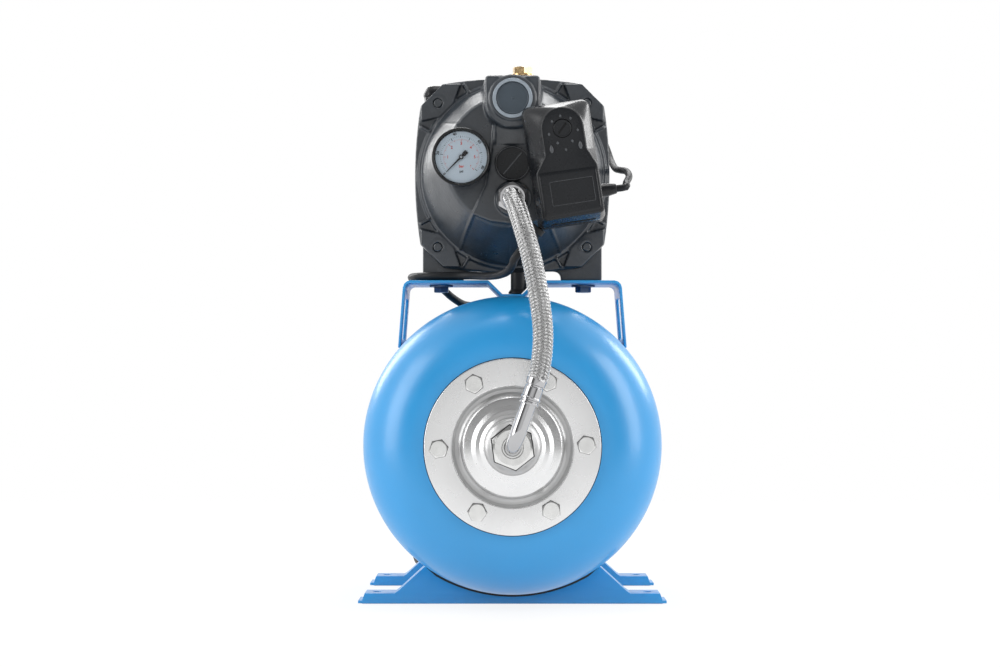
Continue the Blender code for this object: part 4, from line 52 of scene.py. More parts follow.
TANK_FRONT = round(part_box("tank_shell")[0][1] / MM + DOME_FRONT, 2)
TOWARDS_VIEWER = (0.0, -1.0, 0.0)
AWAY = (0.0, 1.0, 0.0)

TANK_AXIS = 147.0
TANK_RADIUS = 135.0
TANK_LENGTH = 300.0
REAR_DOME = 65.0
SADDLE_REACH = 36.0
FLANGE_RADIUS = 78.0
FLANGE_THICK = 3.5
FLANGE_SEAT = -DOME_FRONT - 0.3
FLANGE_FRONT = FLANGE_SEAT - FLANGE_THICK
BOLT_CIRCLE = 130.0
PLATFORM_TOP = 297.5
PUMP_AXIS = 395.0
BELL_FACE = -30.0
CASING_FRONT = 40.0
CASING_BACK = 50.0
TOWER_FRONT = -48.0
OUTLET_HEIGHT = 456.0
SUCTION_HEIGHT = 398.8
PORT_HEIGHT = 367.0
PORT_FRONT = -45.0
PRIMING_X = 9.0
PRIMING_PLACE = -28.0
HOSE_PLANE = -108.5
GAUGE_X = -45.3
GAUGE_HEIGHT = 402.5
GAUGE_FACE = -59.0
SWITCH_X = 45.1
SWITCH_HEIGHT = 393.1
SWITCH_TILT = 8.5
SWITCH_BACK = -51.5
SWITCH_SEAM = -65.5
SWITCH_FRONT = -94.0
MAINS_RADIUS = 3.65
LEAD_RADIUS = 3.1

SENSOR_WIDTH = 36.0
PHOTO_WIDTH = 1000.0
FOCAL_PIXELS = 2326.0
CAMERA_SPOT = (-5.0, -2107.0, 205.0)
CAMERA_PITCH_DEG = 91.17
CAMERA_YAW_DEG = 0.17

ROOM_COLOUR = (0.94, 0.97, 1.0, 1.0)
ROOM_LIGHT = 0.60
LAMP_TARGET = (0.0, 0.0, 0.25)
# Name, place in metres, width, height, watts
LAMPS = [
    ("softbox_left", (-1.6, -0.85, 0.80), 0.9, 1.6, 15.5),
    ("softbox_right", (1.6, -0.75, 0.80), 0.8, 1.6, 14.5),
    ("edge_light_left", (-1.4, 1.40, 1.15), 0.6, 1.0, 12.0),
    ("edge_light_right", (1.6, 1.10, 1.20), 0.5, 0.9, 11.0),
    ("top_light", (0.1, -0.25, 1.9), 0.8, 0.4, 6.0),
    ("back_top_light", (0.0, 1.5, 1.8), 1.6, 0.5, 16.0),
]
# Grey of the room in metal, from beside the camera to the sides of the set
ROOM_TONES = [(0.0, 0.80), (0.05, 0.70), (0.15, 0.16), (0.48, 0.18), (0.74, 1.0)]
FLOOR_REACH = 1.7
FLOOR_LEVEL = -0.0006
FLOOR_SHARE = 0.84
FLOOR_FADE = (0.75, 1.55)
FLOOR_GLOW = 1.03

scene = bpy.context.scene


def at(x, place, z):
    """World point from millimetres: X, place from the tank's front rim, Z."""
    return Vector((x, TANK_FRONT + place, z)) * MM


def spot(matrix, x, y, z):
    """World point from millimetres on the matrix's own axes."""
    return matrix @ (Vector((x, y, z)) * MM)


def add_object(name, data):
    """Object with this data, linked into the scene."""
    item = bpy.data.objects.new(name, data)
    scene.collection.objects.link(item)
    return item


# Camera and light

def make_camera():
    """Camera at the photograph's standpoint: low in front of the tank, looking along its axis."""
    data = bpy.data.cameras.new("camera")
    data.sensor_width = SENSOR_WIDTH
    data.lens = FOCAL_PIXELS * SENSOR_WIDTH / PHOTO_WIDTH
    data.clip_start = 0.05
    data.clip_end = 60.0
    camera = add_object("camera", data)
    camera.location = at(*CAMERA_SPOT)
    camera.rotation_euler = (math.radians(CAMERA_PITCH_DEG), 0.0, math.radians(CAMERA_YAW_DEG))
    scene.camera = camera


def area_light(name, place, width, height, watts):
    """Rectangular lamp that points at the middle of the set."""
    data = bpy.data.lights.new(name, "AREA")
    data.shape = "RECTANGLE"
    data.size = width
    data.size_y = height
    data.energy = watts
    lamp = add_object(name, data)
    lamp.location = place
    aim = Vector(LAMP_TARGET) - Vector(place)
    lamp.rotation_euler = aim.to_track_quat("-Z", "Y").to_euler()


def add_node(tree, kind, inputs=None, **settings):
    """Shader node whose inputs are given as constants or as the sockets that feed them."""
    node = tree.nodes.new("ShaderNode" + kind)
    for key, value in settings.items():
        setattr(node, key, value)
    for key, value in (inputs or {}).items():
        if isinstance(value, bpy.types.NodeSocket):
            tree.links.new(value, node.inputs[key])
        else:
            node.inputs[key].default_value = value
    return node


def seen_share(tree):
    """1 for the rays that show a background: straight to the camera, or by metal or glass."""
    path = add_node(tree, "LightPath")
    share = path.outputs["Is Camera Ray"]
    for kind in ("Is Glossy Ray", "Is Transmission Ray"):
        share = add_node(tree, "Math", {0: share, 1: path.outputs[kind]}, operation="MAXIMUM").outputs[0]
    return share


def studio_tone(tree):
    """White backdrop all round for the camera; metal also sees the dim ring of room beside the camera."""
    coord = add_node(tree, "TexCoord")
    split = add_node(tree, "SeparateXYZ", {"Vector": coord.outputs["Generated"]})
    depth = add_node(tree, "MapRange", {"From Min": -1.0, "From Max": 0.0, "Value": split.outputs["Y"]})
    ramp = add_node(tree, "ValToRGB", {"Fac": depth.outputs["Result"]})
    stops = ramp.color_ramp.elements
    stops[0].position, stops[1].position = ROOM_TONES[0][0], ROOM_TONES[-1][0]
    for place, _ in ROOM_TONES[1:-1]:
        stops.new(place)
    for stop, (_, tone) in zip(stops, ROOM_TONES):
        stop.color = (tone, tone, tone, 1.0)
    by_metal = add_node(tree, "LightPath").outputs["Is Glossy Ray"]
    mix = add_node(tree, "Mix", {"A": (1.0, 1.0, 1.0, 1.0), "B": ramp.outputs["Color"], "Factor": by_metal},
                   data_type="RGBA")
    return mix.outputs["Result"]


def make_light():
    """White surround with side softboxes, edge lights behind and lights above."""
    world = bpy.data.worlds.new("studio")
    scene.world = world
    world.use_nodes = True
    tree = world.node_tree
    tree.nodes.clear()
    plain = add_node(tree, "Background", {"Color": ROOM_COLOUR, "Strength": ROOM_LIGHT})
    seen = add_node(tree, "Background", {"Color": studio_tone(tree), "Strength": 1.0})
    mix = add_node(tree, "MixShader", {"Fac": seen_share(tree), 1: plain.outputs[0], 2: seen.outputs[0]})
    add_node(tree, "OutputWorld", {"Surface": mix.outputs[0]})
    for lamp in LAMPS:
        area_light(*lamp)


def make_floor():
    """Plain pale floor that keeps the soft shadow of the set and fades to the white backdrop."""
    mesh = bpy.data.meshes.new("floor")
    corners = [(x * FLOOR_REACH, y * FLOOR_REACH, FLOOR_LEVEL)
               for x, y in ((-1, -1), (1, -1), (1, 1), (-1, 1))]
    mesh.from_pydata(corners, [], [(0, 1, 2, 3)])
    floor = add_object("floor", mesh)
    material = bpy.data.materials.new("studio_floor")
    material.use_nodes = True
    tree = material.node_tree
    tree.nodes.clear()
    matt = add_node(tree, "BsdfDiffuse", {"Color": (0.90, 0.90, 0.90, 1.0)})
    glow = add_node(tree, "Emission", {"Strength": FLOOR_GLOW})
    coord = add_node(tree, "TexCoord")
    reach = add_node(tree, "VectorMath", {0: coord.outputs["Object"]}, operation="LENGTH")
    fade = add_node(tree, "MapRange", {"From Min": FLOOR_FADE[0], "From Max": FLOOR_FADE[1],
                                       "To Min": FLOOR_SHARE, "To Max": 1.0, "Value": reach.outputs["Value"]})
    share = add_node(tree, "Math", {0: seen_share(tree), 1: fade.outputs["Result"]}, operation="MULTIPLY")
    mix = add_node(tree, "MixShader", {"Fac": share.outputs[0], 1: matt.outputs[0], 2: glow.outputs[0]})
    add_node(tree, "OutputMaterial", {"Surface": mix.outputs[0]})
    mesh.materials.append(material)


# Materials

def shader_material(name, values):
    """Material and its principled shader, with constants on these inputs."""
    material = bpy.data.materials.new(name)
    material.use_nodes = True
    shader = material.node_tree.nodes["Principled BSDF"]
    for key, value in values.items():
        shader.inputs[key].default_value = value
    return material, shader


def surface(name, colour, rough, metal, tone, tone_scale, rough_spread=0.08, grain=(900.0, 0.15, 0.05),
            pits=None, dirt=None, coat=0.0, specular=0.5):
    """Material with drift of tone, patches of other roughness, and fine and coarse relief.

    Grain and pits are (noise scale, strength, depth in millimetres), and dirt is (colour, share).
    """
    material, shader = shader_material(name, {
        "Metallic": metal, "Coat Weight": coat, "Coat Roughness": 0.08, "Specular IOR Level": specular})
    tree = material.node_tree
    coord = add_node(tree, "TexCoord")

    def noise(scale, detail, rough_value=0.5):
        values = {"Vector": coord.outputs["Object"], "Scale": scale, "Detail": detail,
                  "Roughness": rough_value}
        return add_node(tree, "TexNoise", values).outputs["Fac"]

    def spread(source, low, high):
        values = {"Value": source, "From Min": 0.3, "From Max": 0.7, "To Min": low, "To Max": high}
        return add_node(tree, "MapRange", values).outputs["Result"]

    def mixed_colour(first, second, factor):
        values = {"A": first, "B": second, "Factor": factor}
        return add_node(tree, "Mix", values, data_type="RGBA").outputs["Result"]

    darker = (*[c * (1.0 - tone) for c in colour], 1.0)
    lighter = (*[min(1.0, c * (1.0 + tone)) for c in colour], 1.0)
    shown = mixed_colour(darker, lighter, spread(noise(tone_scale, 4.0), 0.0, 1.0))
    if dirt:
        film, share = dirt
        patches = spread(noise(tone_scale * 3.7, 6.0, 0.65), -0.3 * share, share)
        shown = mixed_colour(shown, (*film, 1.0), patches)
    tree.links.new(shown, shader.inputs["Base Color"])
    smoothest = max(0.02, rough - rough_spread)
    roughest = min(1.0, rough + rough_spread)
    tree.links.new(spread(noise(tone_scale * 2.3, 5.0, 0.6), smoothest, roughest), shader.inputs["Roughness"])
    scale, strength, depth = grain
    relief = add_node(tree, "Bump", {"Strength": strength, "Distance": depth * MM,
                                     "Height": noise(scale, 3.0)})
    if pits:
        scale, strength, depth = pits
        relief = add_node(tree, "Bump", {"Strength": strength, "Distance": depth * MM,
                                         "Height": noise(scale, 4.0, 0.6),
                                         "Normal": relief.outputs["Normal"]})
    tree.links.new(relief.outputs["Normal"], shader.inputs["Normal"])
    return material


# Colour, roughness, metal, drift of tone and its scale, spread of roughness, grain, and what else it has
FINISH = {
    "blue": surface("gloss_blue_enamel", (0.010, 0.293, 0.650), 0.33, 0.0, 0.05, 9.0, 0.04,
                    (420.0, 0.08, 0.03), (60.0, 0.06, 0.10), coat=0.12, specular=0.88),
    "cast": surface("black_enamel_on_casting", (0.019, 0.025, 0.033), 0.34, 0.0, 0.22, 26.0, 0.08,
                    (1500.0, 0.60, 0.10), (330.0, 0.80, 0.34), ((0.050, 0.060, 0.070), 0.20), specular=0.90),
    "cap": surface("grey_transport_cap", (0.050, 0.068, 0.086), 0.40, 0.0, 0.10, 60.0, 0.06,
                   (1800.0, 0.30, 0.05)),
    # Painted shadow: near-black for thin strips laid where gaps and contact lines fall in shade
    "seat": surface("painted_shadow_line", (0.030, 0.030, 0.030), 0.60, 0.0, 0.20, 90.0, specular=0.2),
    "machined": surface("machined_ring", (0.36, 0.41, 0.46), 0.35, 0.6, 0.12, 90.0),
    "zinc": surface("brushed_zinc_plate", (0.84, 0.84, 0.84), 0.27, 0.95, 0.04, 16.0, 0.04,
                    (700.0, 0.10, 0.03)),
    # Darker zinc: painted shade in the flange's sunk groove and on its hub round the elbow nut
    "zinc_painted_shade": surface("pressed_zinc_painted_shade", (0.50, 0.50, 0.50), 0.36, 0.9, 0.08, 30.0, 0.06,
                         (700.0, 0.14, 0.03)),
    "bolt": surface("bright_bolt_steel", (0.80, 0.80, 0.79), 0.22, 0.95, 0.06, 110.0, 0.06,
                    (1300.0, 0.14, 0.03)),
    "dark_bolt": surface("shaded_bolt_steel", (0.17, 0.22, 0.29), 0.38, 0.7, 0.16, 160.0, 0.10,
                         (1300.0, 0.25, 0.04)),
    "steel": surface("turned_steel", (0.50, 0.50, 0.51), 0.34, 1.0, 0.08, 80.0, 0.10, (1600.0, 0.20, 0.03)),
    "chrome": surface("polished_chrome", (0.52, 0.52, 0.53), 0.10, 1.0, 0.03, 40.0, 0.04,
                      (600.0, 0.05, 0.02)),
    "braid": surface("stainless_braid_wire", (0.66, 0.66, 0.66), 0.26, 1.0, 0.05, 120.0, 0.05,
                     (2200.0, 0.20, 0.02)),
    "core": surface("hose_inner_tube", (0.030, 0.030, 0.032), 0.60, 0.0, 0.15, 120.0, specular=0.2),
    "brass": surface("yellow_brass", (0.70, 0.50, 0.26), 0.26, 0.95, 0.09, 140.0, 0.09,
                     (1500.0, 0.18, 0.03), dirt=((0.36, 0.22, 0.09), 0.22)),
    "plastic": surface("charcoal_plastic", (0.010, 0.011, 0.013), 0.27, 0.0, 0.12, 34.0, 0.05,
                       (2600.0, 0.35, 0.05), specular=0.34),
    "bezel": surface("black_bezel_enamel", (0.008, 0.009, 0.010), 0.22, 0.0, 0.15, 60.0, 0.06,
                     (900.0, 0.08, 0.03), specular=0.30),
    "rubber": surface("black_cable_sheath", (0.011, 0.012, 0.014), 0.44, 0.0, 0.20, 50.0, 0.08,
                      (1100.0, 0.25, 0.05), specular=0.25),
    "dial": surface("printed_dial_card", (0.45, 0.52, 0.58), 0.55, 0.0, 0.03, 50.0, 0.08,
                    (1800.0, 0.06, 0.02), specular=0.25),
    "black_ink": surface("black_dial_ink", (0.012, 0.012, 0.014), 0.55, 0.0, 0.2, 300.0, specular=0.2),
    "red_ink": surface("red_dial_ink", (0.50, 0.055, 0.035), 0.55, 0.0, 0.15, 300.0, specular=0.2),
    "needle": surface("needle_enamel", (0.008, 0.008, 0.009), 0.40, 0.0, 0.2, 200.0, specular=0.3),
    "hub": surface("grey_needle_cap", (0.30, 0.32, 0.34), 0.35, 0.6, 0.1, 200.0),
    # Painted highlight: lighter grey for raised pips, rims, bars and frames where they catch the light
    "mark": surface("painted_highlight_edge", (0.070, 0.074, 0.080), 0.30, 0.0, 0.2, 300.0),
    "glass": shader_material("gauge_window_glass", {
        "Base Color": (0.97, 0.985, 1.0, 1.0), "Roughness": 0.03, "IOR": 1.45, "Transmission Weight": 1.0,
        "Alpha": 0.22})[0],
    "pin": surface("nickel_plug_pin", (0.70, 0.69, 0.66), 0.25, 1.0, 0.08, 150.0, 0.08, (1500.0, 0.12, 0.03)),
}


# Mesh tools

LEAST_CORNER_DEG = 12.0
CURVE_STEPS = 24
HEX_STEPS = 72


def declare(item, finish, body="set", stands_for=None):
    """Says on which body a piece rides, and the solids it stands for: by its name, or as given."""
    node = item.name.removesuffix("_shown")
    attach(item, body)
    if stands_for:
        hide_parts(*stands_for)
    elif node != item.name:
        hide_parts(node)
    return item


def plain_object(name, source):
    """Unfinished piece or cutting tool, with its faces turned outwards."""
    bmesh.ops.recalc_face_normals(source, faces=source.faces)
    mesh = bpy.data.meshes.new(name)
    source.to_mesh(mesh)
    source.free()
    return add_object(name, mesh)


def shaded(item, finish, sharp, body="set"):
    """Smooth shading, finish and body for a piece whose mesh is done."""
    mesh = item.data
    mesh.polygons.foreach_set("use_smooth", [True] * len(mesh.polygons))
    mesh.set_sharp_from_angle(angle=math.radians(sharp))
    mesh.materials.clear()
    mesh.materials.append(FINISH[finish])
    return declare(item, finish, body)


def make_piece(name, source, finish, body="set", sharp=32.0):
    """Turns a bmesh in world metres into a shaded piece that rides on a body of the frame."""
    bmesh.ops.remove_doubles(source, verts=source.verts, dist=0.0000005)
    return shaded(plain_object(name, source), finish, sharp, body)


def loop_circle(radius, count):
    """Points (a, b) round a circle."""
    angles = [2 * math.pi * i / count for i in range(count)]
    return [(radius * math.cos(angle), radius * math.sin(angle)) for angle in angles]


def arc(centre_a, centre_b, radius_a, radius_b, start_deg, end_deg, steps):
    """Points (a, b) of an elliptical arc."""
    angles = [math.radians(start_deg + (end_deg - start_deg) * step / steps) for step in range(steps + 1)]
    return [(centre_a + radius_a * math.sin(angle), centre_b + radius_b * math.cos(angle))
            for angle in angles]


def softened(points, radius, steps=3, closed=False):
    """Polyline with an arc of up to the given radius at each real corner."""
    result = []
    count = len(points)
    for i, point in enumerate(points):
        if not closed and i in (0, count - 1):
            result.append(tuple(point))
            continue
        here = Vector(point)
        before = Vector(points[i - 1]) - here
        after = Vector(points[(i + 1) % count]) - here
        if before.length < 1e-6 or after.length < 1e-6:
            continue
        between = before.angle(after)
        if math.pi - between < math.radians(LEAST_CORNER_DEG):
            result.append(tuple(here))
            continue
        setback = min(radius / math.tan(between / 2), before.length * 0.45, after.length * 0.45)
        start = here + before.normalized() * setback
        end = here + after.normalized() * setback
        for step in range(steps + 1):
            t = step / steps
            result.append(tuple(start.lerp(here, t).lerp(here.lerp(end, t), t)))
    return result


def upright_ring(outline, place):
    """Outline (x, z) as world points at a place along the tank."""
    return [at(x, place, z) for x, z in outline]


def disc_outline(x, z, radius, count):
    """Circle (x, z) round a centre."""
    return [(x + a, z + b) for a, b in loop_circle(radius, count)]


def turned_outline(outline, angle_deg, x, z):
    """Outline turned round its origin and moved to a centre."""
    cosine = math.cos(math.radians(angle_deg))
    sine = math.sin(math.radians(angle_deg))
    return [(x + a * cosine - b * sine, z + a * sine + b * cosine) for a, b in outline]


def bar_outline(centre, angle_deg, inner, outer, width):
    """Bar that points away from a centre, from an inner to an outer reach."""
    half = width / 2
    return turned_outline([(inner, -half), (inner, half), (outer, half), (outer, -half)], angle_deg, *centre)


def rounded_box(left, low, right, high, low_radius, high_radius, steps=8):
    """Rectangle with one radius at its lower and one at its upper corners."""
    spots = [(left + low_radius, low + low_radius, low_radius, 180),
             (right - low_radius, low + low_radius, low_radius, 270),
             (right - high_radius, high - high_radius, high_radius, 0),
             (left + high_radius, high - high_radius, high_radius, 90)]
    outline = []
    for x, z, radius, start in spots:
        for step in range(steps + 1):
            angle = math.radians(start + 90 * step / steps)
            outline.append((x + radius * math.cos(angle), z + radius * math.sin(angle)))
    return outline


def add_loft(target, rings, caps=True, closed_run=False):
    """Skins a run of equally long rings of world points into the mesh."""
    rows = [[target.verts.new(point) for point in ring] for ring in rings]
    count = len(rows[0])
    for low, high in zip(rows, rows[1:] + rows[:1] if closed_run else rows[1:]):
        for i in range(count):
            j = (i + 1) % count
            target.faces.new((low[i], low[j], high[j], high[i]))
    if caps and not closed_run:
        target.faces.new(list(reversed(rows[0])))
        target.faces.new(rows[-1])


def add_plate(target, outline, places, ring=upright_ring):
    """Straight body with one outline, between two places along the tank or on the switch."""
    add_loft(target, [ring(outline, place) for place in places])


def add_disc(target, x, z, radius, count, places):
    """Round straight body between two places along the tank."""
    add_plate(target, disc_outline(x, z, radius, count), places)


def add_turned(target, profile, count, matrix, closed=False):
    """Revolves (along, radius) in millimetres round the matrix's Z axis."""
    rows = []
    for along, radius in profile:
        circle = loop_circle(radius, count) if radius > 1e-6 else [(0.0, 0.0)]
        rows.append([target.verts.new(spot(matrix, x, y, along)) for x, y in circle])
    for low, high in zip(rows, rows[1:] + rows[:1] if closed else rows[1:]):
        if len(low) == 1 and len(high) == 1:
            continue
        for i in range(count):
            j = (i + 1) % count
            if len(low) == 1:
                corners = (low[0], high[j], high[i])
            elif len(high) == 1:
                corners = (low[i], low[j], high[0])
            else:
                corners = (low[i], low[j], high[j], high[i])
            target.faces.new(corners)


def facing(point, direction, roll_deg=0.0):
    """Matrix at a world point whose Z axis runs along the direction."""
    turn = Vector(direction).to_track_quat("Z", "Y").to_matrix().to_4x4()
    return Matrix.Translation(point) @ turn @ Matrix.Rotation(math.radians(roll_deg), 4, "Z")


def turned_piece(name, profile, count, point, direction, finish, soft=0.4, closed=False, **more):
    """Turned piece along a direction, with softened corners."""
    source = bmesh.new()
    outline = softened(profile, soft, 3, closed) if soft else profile
    add_turned(source, outline, count, facing(point, direction), closed)
    return make_piece(name, source, finish, **more)


def add_hex_head(target, matrix, across_flats, height, start=0.0, bore=0.0, crown=30.0, reach=0.985):
    """Hexagonal head with the turned chamfer that crowns a real one from a share of its half width."""
    chamfer_from = across_flats / 2 * reach
    slope = math.tan(math.radians(crown))
    sector = math.radians(60)
    top = start + height

    def ring(along, factor=1.0, drop=False, limit=math.inf):
        points = []
        for i in range(HEX_STEPS):
            angle = 2 * math.pi * i / HEX_STEPS
            local = (angle + sector / 2) % sector - sector / 2
            radius = min(limit, across_flats / 2 / math.cos(local) * factor)
            lower = max(0.0, radius - chamfer_from) * slope if drop else 0.0
            points.append(spot(matrix, radius * math.cos(angle), radius * math.sin(angle), along - lower))
        return points

    rings = [ring(start, 0.985), ring(start + 0.25), ring(top, 1.0, True),
             ring(top, 0.985, True, chamfer_from * 0.99), ring(top, 0.93, False, chamfer_from * 0.96)]
    if bore > 0.0:
        for radius, along in ((bore + 0.4, top), (bore, top - 0.4), (bore, start)):
            rings.append([spot(matrix, x, y, along) for x, y in loop_circle(radius, HEX_STEPS)])
    add_loft(target, rings, closed_run=bore > 0.0)


def smooth_path(points, spacing):
    """Evenly spaced points on a Catmull-Rom curve through the given world points."""
    points = [Vector(p) for p in points]
    padded = [points[0] * 2 - points[1]] + points + [points[-1] * 2 - points[-2]]
    dense = []
    for i in range(1, len(padded) - 2):
        p0, p1, p2, p3 = padded[i - 1:i + 3]
        for step in range(CURVE_STEPS):
            t = step / CURVE_STEPS
            dense.append(0.5 * ((2 * p1) + (p2 - p0) * t + (2 * p0 - 5 * p1 + 4 * p2 - p3) * t * t
                                + (3 * p1 - p0 - 3 * p2 + p3) * t ** 3))
    dense.append(points[-1])
    lengths = run_lengths(dense)
    count = max(2, round(lengths[-1] / spacing))
    result = []
    k = 0
    for i in range(count + 1):
        goal = lengths[-1] * i / count
        while k < len(lengths) - 2 and lengths[k + 1] < goal:
            k += 1
        span = lengths[k + 1] - lengths[k]
        share = (goal - lengths[k]) / span if span > 1e-12 else 0.0
        result.append(dense[k].lerp(dense[k + 1], min(1.0, share)))
    return result


def run_lengths(points):
    """Length of the line up to each of its points."""
    lengths = [0.0]
    for a, b in zip(points, points[1:]):
        lengths.append(lengths[-1] + (b - a).length)
    return lengths


def path_frames(points):
    """Parallel-transported frames (point, normal, binormal) along a path."""
    last = len(points) - 1
    tangents = [(points[min(last, i + 1)] - points[max(0, i - 1)]).normalized() for i in range(last + 1)]
    side = tangents[0].orthogonal().normalized()
    frames = []
    for point, tangent in zip(points, tangents):
        side = (side - tangent * side.dot(tangent)).normalized()
        frames.append((point, side.copy(), tangent.cross(side)))
    return frames


def add_sweep(target, points, radius, count, caps=True):
    """Round tube along a path."""
    circle = loop_circle(radius * MM, count)
    rings = [[point + side * x + up * y for x, y in circle] for point, side, up in path_frames(points)]
    add_loft(target, rings, caps=caps)


def solid_mesh(node):
    """Welded copy of a CAD solid's mesh."""
    source = bmesh.new()
    source.from_mesh(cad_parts[node].data)
    bmesh.ops.remove_doubles(source, verts=source.verts, dist=0.00001)
    return source


def refined(node, finish, bevel, angle_deg=24.0, segments=2):
    """Finished copy of a CAD solid: flat faces merged and sharp edges softly broken."""
    source = solid_mesh(node)
    bmesh.ops.dissolve_limit(source, angle_limit=math.radians(0.6), verts=source.verts, edges=source.edges)
    edges = [edge for edge in source.edges
             if len(edge.link_faces) == 2 and edge.calc_face_angle(0.0) > math.radians(angle_deg)]
    bmesh.ops.bevel(source, geom=edges, offset=bevel * MM, segments=segments, profile=0.5,
                    affect="EDGES", clamp_overlap=True)
    return make_piece(node + "_shown", source, finish)


def worked(item, cutters=(), grid=0.0, smoothing=0):
    """Cuts the tool bodies out of the piece, melts it into one casting and keeps the result."""
    for cutter in cutters:
        step = item.modifiers.new("cut", "BOOLEAN")
        step.operation = "DIFFERENCE"
        step.solver = "EXACT"
        step.use_self = True
        step.object = cutter
    if grid:
        step = item.modifiers.new("cast", "REMESH")
        step.mode = "VOXEL"
        step.voxel_size = grid * MM
        step = item.modifiers.new("flow", "SMOOTH")
        step.factor = 0.5
        step.iterations = smoothing
    graph = bpy.context.evaluated_depsgraph_get()
    done = bpy.data.meshes.new_from_object(item.evaluated_get(graph))
    item.modifiers.clear()
    old = item.data
    item.data = done
    bpy.data.meshes.remove(old)
    for cutter in cutters:
        bpy.data.objects.remove(cutter, do_unlink=True)


def dress(finish, *nodes):
    """Gives CAD nodes that keep their own shape a finished material."""
    for node in nodes:
        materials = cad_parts[node].data.materials
        materials.clear()
        materials.append(FINISH[finish])


# Tank, flange, feet and platform

FLANGE_BOLT_TURNS = (17.0, 52.0, 8.0, 41.0, 26.0, 3.0)
WELD_BEAD = [(147.0, 0.0), (148.2, 0.7), (150.0, 1.2), (151.8, 0.7), (153.0, 0.0)]
# Name, finish, rounding and profile from the flange's front face backwards
FLANGE_RINGS = [
    ("tank_flange_shown", "zinc", 0.8, [
        (FLANGE_THICK, 60.0), (FLANGE_THICK, FLANGE_RADIUS), (0.0, FLANGE_RADIUS), (0.0, 54.4), (0.5, 53.4),
        (2.0, 53.4), (FLANGE_THICK, 54.5)]),
    # Painted shade: the groove and the hub below take a darker zinc than the rim and the cone
    ("flange_groove", "zinc_painted_shade", 0.9, [
        (FLANGE_THICK, 55.0), (0.3, 54.2), (0.9, 52.9), (2.6, 51.0), (2.7, 48.2), (1.5, 46.0), (0.2, 44.9),
        (FLANGE_THICK, 44.0)]),
    ("flange_cone", "zinc", 1.2, [
        (FLANGE_THICK, 45.6), (0.4, 45.4), (-0.6, 44.6), (-2.2, 43.4), (-3.0, 41.0), (-4.2, 36.5),
        (-6.4, 32.5), (-7.2, 29.0), (-8.8, 26.5), (-9.8, 24.7), (-7.0, 23.6), (FLANGE_THICK, 23.6)]),
    ("flange_hub", "zinc_painted_shade", 1.0, [
        (-8.0, 5.5), (-8.0, 24.4), (-10.4, 24.6), (-12.4, 23.9), (-13.4, 22.2), (-15.6, 20.3), (-17.4, 19.0),
        (-18.0, 17.0), (-18.0, 5.5)]),
]
# Along, radius and depth of the knurls
VALVE_CAP = ((0.0, 8.2, 0.0), (0.5, 8.6, 0.35), (8.8, 8.6, 0.35), (10.0, 8.0, 0.15), (10.5, 6.8, 0.0))


def make_tank_shell():
    """Deep-drawn shell: rounded front dome, joint weld round the middle and elliptical rear dome."""
    seat = FLANGE_RADIUS + 1.5
    profile = [(-DOME_FRONT, 48.0), (-DOME_FRONT, seat - 6.0)]
    profile += arc(0.0, seat, -DOME_FRONT, TANK_RADIUS - seat, 90, 0, 26)
    profile += [(138.0, TANK_RADIUS)] + [(along, TANK_RADIUS + proud) for along, proud in WELD_BEAD]
    profile += [(162.0, TANK_RADIUS)]
    profile += arc(TANK_LENGTH, 4.5, REAR_DOME, TANK_RADIUS - 4.5, 0, 90, 30)
    profile += [(TANK_LENGTH + REAR_DOME - 3.0, 4.5)]
    turned_piece("tank_shell_shown", profile, 192, at(0, 0, TANK_AXIS), AWAY, "blue", soft=0, sharp=50.0)
    joint = [(-0.15, 60.0), (-0.15, 78.6), (0.05, 78.9), (0.05, 60.0)]
    turned_piece("flange_gasket", joint, 160, at(0, -DOME_FRONT, TANK_AXIS), AWAY, "rubber", soft=0,
                 closed=True)


def make_tank_flange():
    """Pressed counter-flange: broad rim, sunk groove, stepped cone and hub, with painted shade in the groove
    and on the hub.
    """
    for name, finish, soft, profile in FLANGE_RINGS:
        turned_piece(name, profile, 192, at(0, FLANGE_FRONT, TANK_AXIS), AWAY, finish, soft=soft, closed=True,
                     sharp=60.0)


def make_flange_bolts():
    """Six hexagon screws on their washer faces, each turned its own way."""
    for k, turn in enumerate(FLANGE_BOLT_TURNS):
        angle = math.radians(1.5 + 60.0 * k)
        x = BOLT_CIRCLE / 2 * math.cos(angle)
        z = TANK_AXIS + BOLT_CIRCLE / 2 * math.sin(angle)
        matrix = facing(at(x, FLANGE_FRONT, z), TOWARDS_VIEWER, turn)
        source = bmesh.new()
        add_turned(source, softened([(0.05, 5.0), (0.05, 6.9), (0.75, 6.9), (0.85, 5.0)], 0.2, 2), 48, matrix)
        add_hex_head(source, matrix, 14.6, 5.0, 0.85, crown=24.0, reach=0.95)
        make_piece(f"flange_bolt_{k + 1}_shown", source, "bolt", sharp=24.0)
        # Painted shadow: a thin dark hexagon a little wider than the head, for the shade line round it
        source = bmesh.new()
        add_hex_head(source, matrix, 15.4, 0.35, 0.02, bore=5.0)
        make_piece(f"flange_bolt_{k + 1}_seat", source, "seat")


def make_saddle_shadow():
    """Painted shadow: a dark strip where the gap between the tank and the front foot's saddle falls in shade.
    """
    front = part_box("foot_front")[0][1] / MM - TANK_FRONT
    inner, outer = [], []
    for step in range(49):
        turn = -SADDLE_REACH + 2 * SADDLE_REACH * step / 48
        taper = min(1.0, (SADDLE_REACH - abs(turn)) / 6.0)
        angle = math.radians(turn)
        for ring, radius in ((inner, TANK_RADIUS - 0.4), (outer, TANK_RADIUS + 3.4 + 2.5 * taper)):
            ring.append((radius * math.sin(angle), TANK_AXIS - radius * math.cos(angle)))
    source = bmesh.new()
    add_plate(source, inner + outer[::-1], (front - 0.35, front + 2.0))
    make_piece("saddle_painted_shadow", source, "seat")


